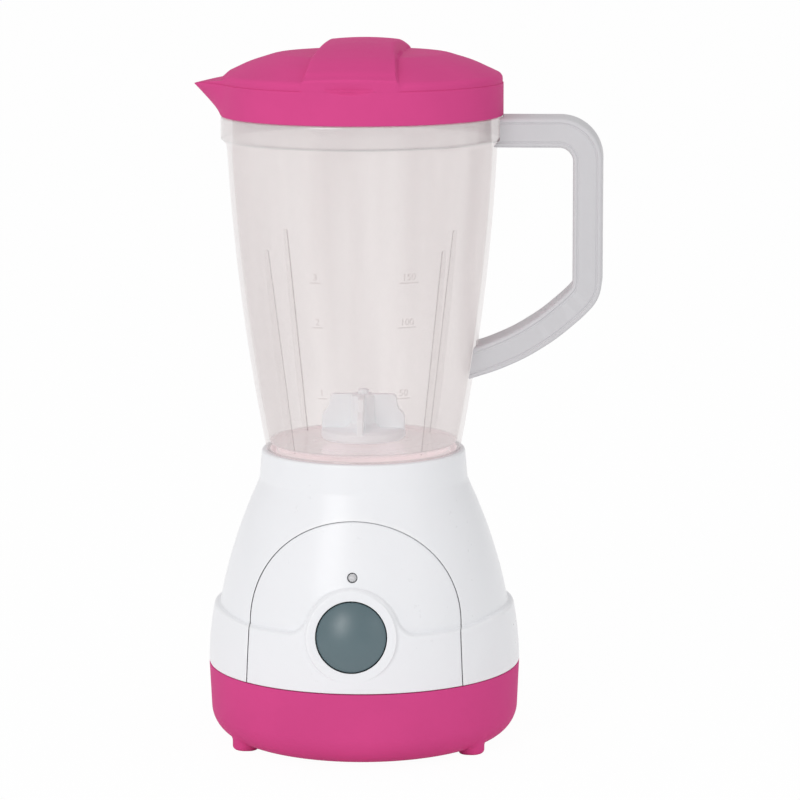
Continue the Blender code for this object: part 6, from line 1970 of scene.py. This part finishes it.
@dataclass(frozen=True)
class BatteryDoor:
    """The pink battery door: plate with grip grooves, two tabs and the screw ear."""

    half: float = 0.0281
    near: float = 0.0051
    far: float = 0.0349
    thick: float = 0.0018
    ear: tuple[float, float] = (0.0042, 0.0394)
    tabs: tuple[float, float] = (0.0140, 0.0040)
    groove: Span = (0.0060, 0.0006, 0.0006)
    grooves_y: Span = (0.0268, 0.0292, 0.0316)
    sink: Span = (0.0029, -0.0010, 0.0011)
    hole: Span = (0.0015, 0.0005, 0.0030)

    def build(self, material: bpy.types.Material) -> None:
        """Make the door.

        Args:
            material: Its plastic.
        """
        reach, middle = self.ear
        outline = rounded(
            [
                (-self.half, self.near, 0.0008),
                (self.half, self.near, 0.0008),
                (self.half, self.far, 0.0008),
                (reach, self.far, 0.0006),
                (reach, middle),
                *arc((0.0, middle), reach, 0.0, 180.0, 24)[1:-1],
                (-reach, middle),
                (-reach, self.far, 0.0006),
                (-self.half, self.far, 0.0008),
            ],
            5,
        )
        door = Solid.plate("door_plate", outline, 0.0, self.thick).bevel(0.00030, 3)
        across, half = self.tabs
        tabs = []
        for spot in (-across, across):
            tabs.append(Solid.block("tab", (spot - half, 0.0018, 0.0023), (spot + half, 0.0075, 0.0035)).bevel(0.0003))
            tabs.append(Solid.block("riser", (spot - half, 0.0051, 0.0009), (spot + half, 0.0075, 0.0029)))
        door.join(*tabs)
        long, wide, deep = self.groove
        tools = []
        for y in self.grooves_y:
            spots = ((-long, y - wide), (long, y - wide), (long, y + wide), (-long, y + wide))
            corners = [(*spot, 0.0005) for spot in spots]
            tools.append(Solid.plate("groove", rounded(corners, 5, closed=True), -0.0010, deep))
        tools.append(Solid.rod("door_sink", *self.sink, (0.0, middle)))
        tools.append(Solid.rod("door_hole", *self.hole, (0.0, middle), 32))
        door.cut(*tools)
        door.finish(Body.DOOR, material, "pink_plastic", "battery_door")


@dataclass(frozen=True)
class InnerWorks:
    """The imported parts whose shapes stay: works, cells, contacts, wires and fasteners."""

    finishes: Mapping[str, bpy.types.Material]

    def dress(self, nodes: Mapping[str, bpy.types.Object]) -> None:
        """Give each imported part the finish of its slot.

        Args:
            nodes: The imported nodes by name.
        """
        for name, node in sorted(nodes.items()):
            for slot in node.material_slots:
                if slot.material is not None:
                    slot.material = self.finishes[slot.material.name.split(".")[0]]
            LOG.info("%s: dressed", name)


@dataclass(frozen=True)
class Studio:
    """The pale floor, the soft lights and the camera."""

    distance: float = 1.25
    height: float = 0.327
    around: float = 5.0
    pitch: float = 80.62
    heading: float = 4.377
    roll: float = 0.15
    lens: float = 160.15
    floor_z: float = -0.0010
    floor_size: float = 14.0
    sky: float = 0.68
    paper: float = 0.97
    away: float = 1.7
    aim_z: float = 0.14
    lamps: tuple[tuple[str, float, tuple[float, float], float, float], ...] = (
        ("key", -26.0, (0.70, 1.3), 1.05, 9.8),
        ("fill", 52.0, (0.90, 1.2), 0.80, 1.8),
        ("side", -78.0, (0.60, 1.2), 0.60, 0.2),
    )

    def floor(self) -> None:
        """Lay the white floor, which keeps a faint shadow and shows plain white elsewhere."""
        half = self.floor_size
        mesh = bpy.data.meshes.new("floor")
        spots = ((-half, -half), (half, -half), (half, half), (-half, half))
        mesh.from_pydata([(*spot, self.floor_z) for spot in spots], [], [(0, 1, 2, 3)])
        floor = bpy.data.objects.new("floor", mesh)
        bpy.context.scene.collection.objects.link(floor)
        graph = Graph("floor_paper")
        tone = graph.noise(0.35, 2.0)
        graph.set(Base_Color=graph.mix(tone, (0.985, 0.985, 0.985), (1.0, 1.0, 1.0)))
        graph.set(Roughness=0.95, Specular_IOR_Level=0.0)
        rays = graph.add("ShaderNodeLightPath", {}, {})
        seen = Socket(graph, rays.outputs["Is Camera Ray"]) + Socket(graph, rays.outputs["Is Glossy Ray"])
        seen = (seen + Socket(graph, rays.outputs["Is Transmission Ray"])).ramp(0.0, 1.0, 0.0, self.paper)
        glow = graph.get("ShaderNodeEmission", inputs={"Color": (1.0, 1.0, 1.0), "Strength": 1.0})
        plain = Socket(graph, graph.shader.outputs[0])
        graph.feed(graph.surface, graph.get("ShaderNodeMixShader", inputs={0: seen, 1: plain, 2: glow}))
        mesh.materials.append(graph.material)

    def world(self) -> None:
        """Light from all round, and white where the camera looks past the floor, directly or through clear parts."""
        world = bpy.data.worlds.new("studio")
        bpy.context.scene.world = world
        world.use_nodes = True
        tree = world.node_tree
        back = tree.nodes["Background"]
        rays = tree.nodes.new("ShaderNodeLightPath")
        seen = tree.nodes.new("ShaderNodeMath")
        seen.operation = "MAXIMUM"
        tree.links.new(rays.outputs["Is Camera Ray"], seen.inputs[0])
        tree.links.new(rays.outputs["Is Transmission Ray"], seen.inputs[1])
        level = tree.nodes.new("ShaderNodeMapRange")
        level.inputs["To Min"].default_value = self.sky
        level.inputs["To Max"].default_value = 1.0
        tree.links.new(seen.outputs[0], level.inputs["Value"])
        tree.links.new(level.outputs[0], back.inputs["Strength"])
        back.inputs["Color"].default_value = (1.0, 1.0, 1.0, 1.0)

    def lamp(self, name: str, turn: float, size: Corner, middle: float, power: float) -> None:
        """Stand a soft box on its edge, facing the object.

        Args:
            name: Its name.
            turn: Where it stands, in degrees from -Y.
            size: Its width and height.
            middle: The height of its middle.
            power: Its power in watts.
        """
        data = bpy.data.lights.new(name, "AREA")
        data.shape = "RECTANGLE"
        data.size, data.size_y = size
        data.energy = power
        lamp = bpy.data.objects.new(name, data)
        angle = math.radians(turn)
        lamp.location = (self.away * math.sin(angle), -self.away * math.cos(angle), middle)
        lamp.rotation_euler = (Vector((0.0, 0.0, self.aim_z)) - lamp.location).to_track_quat("-Z", "Y").to_euler()
        bpy.context.scene.collection.objects.link(lamp)

    def camera(self) -> None:
        """Stand the camera where the photograph was taken."""
        data = bpy.data.cameras.new("camera")
        data.lens = self.lens
        data.sensor_width = 36.0
        data.clip_end = 60.0
        turn = math.radians(self.around)
        camera = bpy.data.objects.new("camera", data)
        camera.location = (self.distance * math.sin(turn), -self.distance * math.cos(turn), self.height)
        camera.rotation_euler = (math.radians(self.pitch), math.radians(self.roll), math.radians(self.heading))
        bpy.context.scene.collection.objects.link(camera)
        bpy.context.scene.camera = camera

    def build(self) -> None:
        """Set the whole stage."""
        self.floor()
        self.world()
        self.camera()
        for lamp in self.lamps:
            self.lamp(*lamp)
        bpy.context.scene.view_settings.view_transform = "Standard"


@dataclass(frozen=True)
class Finishes:
    """The object's finishes, by the record's slots."""

    pink: Colour = from_screen(214, 76, 140)
    white: Colour = from_screen(242, 243, 246)
    grey: Colour = from_screen(207, 206, 209)
    button: Colour = from_screen(76, 100, 107)
    blade: Colour = from_screen(243, 248, 250)
    natural: Colour = (0.76, 0.74, 0.68)
    black: Colour = (0.028, 0.028, 0.030)
    board: Colour = (0.045, 0.20, 0.085)
    cell: Colour = (0.17, 0.18, 0.20)
    red: Colour = (0.56, 0.035, 0.028)
    sleeve: Colour = (0.020, 0.020, 0.022)

    def plastics(self) -> dict[str, Plastic]:
        """The moulded plastics: name, colour, roughness, ripple, its size, mottle, scratches and other values.

        Returns:
            The finishes by slot.
        """
        rows: dict[str, tuple] = {
            "white_plastic": ("white_shell", self.white, 0.30, 0.000006, 0.0022, 0.006, 0.04, {"gloss": 0.45}),
            "pink_plastic": ("pink_shell", self.pink, 0.55, 0.000008, 0.0016, 0.025, 0.06, {"gloss": 0.03}),
            "grey_plastic": ("grey_handle", self.grey, 0.44, 0.000010, 0.0015, 0.010, 0.06, {"gloss": 0.3}),
            "button_plastic": ("button_gloss", self.button, 0.38, 0.000004, 0.0020, 0.02, 0.04, {"gloss": 1.0}),
            # The blade's glow is painted light that brightens it.
            "blade_plastic": ("white_blade", self.blade, 0.40, 0.000008, 0.0014, 0.01, 0.04, {"glow": 0.10}),
            "natural_plastic": ("natural_acetal", self.natural, 0.36, 0.000010, 0.0010, 0.03, 0.06, {"scatter": 0.1}),
            "black_plastic": ("black_moulding", self.black, 0.45, 0.000014, 0.0009, 0.15, 0.08, {}),
            "board": ("board_coat", self.board, 0.30, 0.000020, 0.0008, 0.12, 0.05, {"coat": 0.3}),
            "cell_jacket": ("cell_wrap", self.cell, 0.32, 0.000006, 0.0030, 0.08, 0.12, {"coat": 0.3}),
            "red_wire": ("red_sleeve", self.red, 0.48, 0.000016, 0.0006, 0.08, 0.05, {}),
            "black_wire": ("black_sleeve", self.sleeve, 0.48, 0.000016, 0.0006, 0.15, 0.05, {}),
        }
        return {slot: Plastic(*values, **others) for slot, (*values, others) in rows.items()}

    def clears(self) -> dict[str, ClearPlastic]:
        """The clear plastics of the jar, its ribs and the lamp.

        Returns:
            The finishes by slot.
        """
        jar = ClearPlastic(
            "clear_jar",
            (0.974, 0.962, 0.960),
            from_screen(214, 204, 205),
            film=0.105,
            rim=0.40,
            roughness=0.12,
            coat=1.0,
            cloud_low=0.1062,
            cloud=0.80,
            # Painted shade: dark lines under the collar and at the seat.
            lines=((0.2141, 0.0006, 0.34), (0.1042, 0.0004, 0.22)),
            # Painted glow on the cloudy floor.
            glow=0.50,
            thick=0.22,
            # Streaks of painted reflection bands, partly flow lines.
            flow_and_sheen_streaks=0.36,
        )
        # The ribs: a paler haze, a painted highlight, and inner edges with a dark haze, painted shade.
        rib = ClearPlastic("clear_rib", (1.0, 0.998, 0.997), from_screen(250, 247, 246), 0.06, 0.10, 0.12)
        edge = ClearPlastic("clear_rib_painted_edge_shade", (0.93, 0.92, 0.92), from_screen(150, 142, 140), 0.34, 0.20, 0.12)
        lamp = ClearPlastic("clear_lamp", (0.95, 0.95, 0.97), (0.93, 0.93, 0.95), 0.66, 0.30, 0.08)
        return {"clear_plastic": jar, "clear_ribs": rib, "rib_edges": edge, "lamp_plastic": lamp}

    def metals(self) -> dict[str, Metal]:
        """The plated steel and the sintered bronze of the works, by slot."""
        bronze = Metal("sintered_bronze", (0.70, 0.51, 0.24), 0.36, (1.0, 1.0, 1.0))
        return {"steel": Metal("plated_steel", (0.62, 0.62, 0.64), 0.28), "brass": bronze}

    def build(self) -> dict[str, bpy.types.Material]:
        """Make every finish and return the materials by slot."""
        makers = {**self.plastics(), **self.clears(), **self.metals()}
        return {slot: maker.build() for slot, maker in makers.items()}


def main() -> None:
    """Load the frame, build every piece, dress the rest and set the stage."""
    logging.basicConfig(level=logging.INFO, format="%(name)s %(message)s")
    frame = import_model()
    finishes = Finishes().build()
    InnerWorks(finishes).dress(frame["nodes"])
    base = Base()
    jar = Jar()
    Studio().build()
    Lid().build(finishes["pink_plastic"])
    jar.build(finishes["clear_plastic"], finishes["clear_ribs"], finishes["rib_edges"])
    Handle().build(jar, finishes["grey_plastic"])
    Blade().build(finishes["blade_plastic"])
    Housing(base).build(finishes["white_plastic"])
    FrontPanel(base).build(finishes["white_plastic"])
    Button().build(base.frame(), finishes["button_plastic"])
    Lamp().build(base.frame(), finishes["lamp_plastic"], finishes["steel"])
    BottomCover(base).build(finishes["pink_plastic"])
    BatteryDoor().build(finishes["pink_plastic"])


if __name__ == "__main__":
    main()
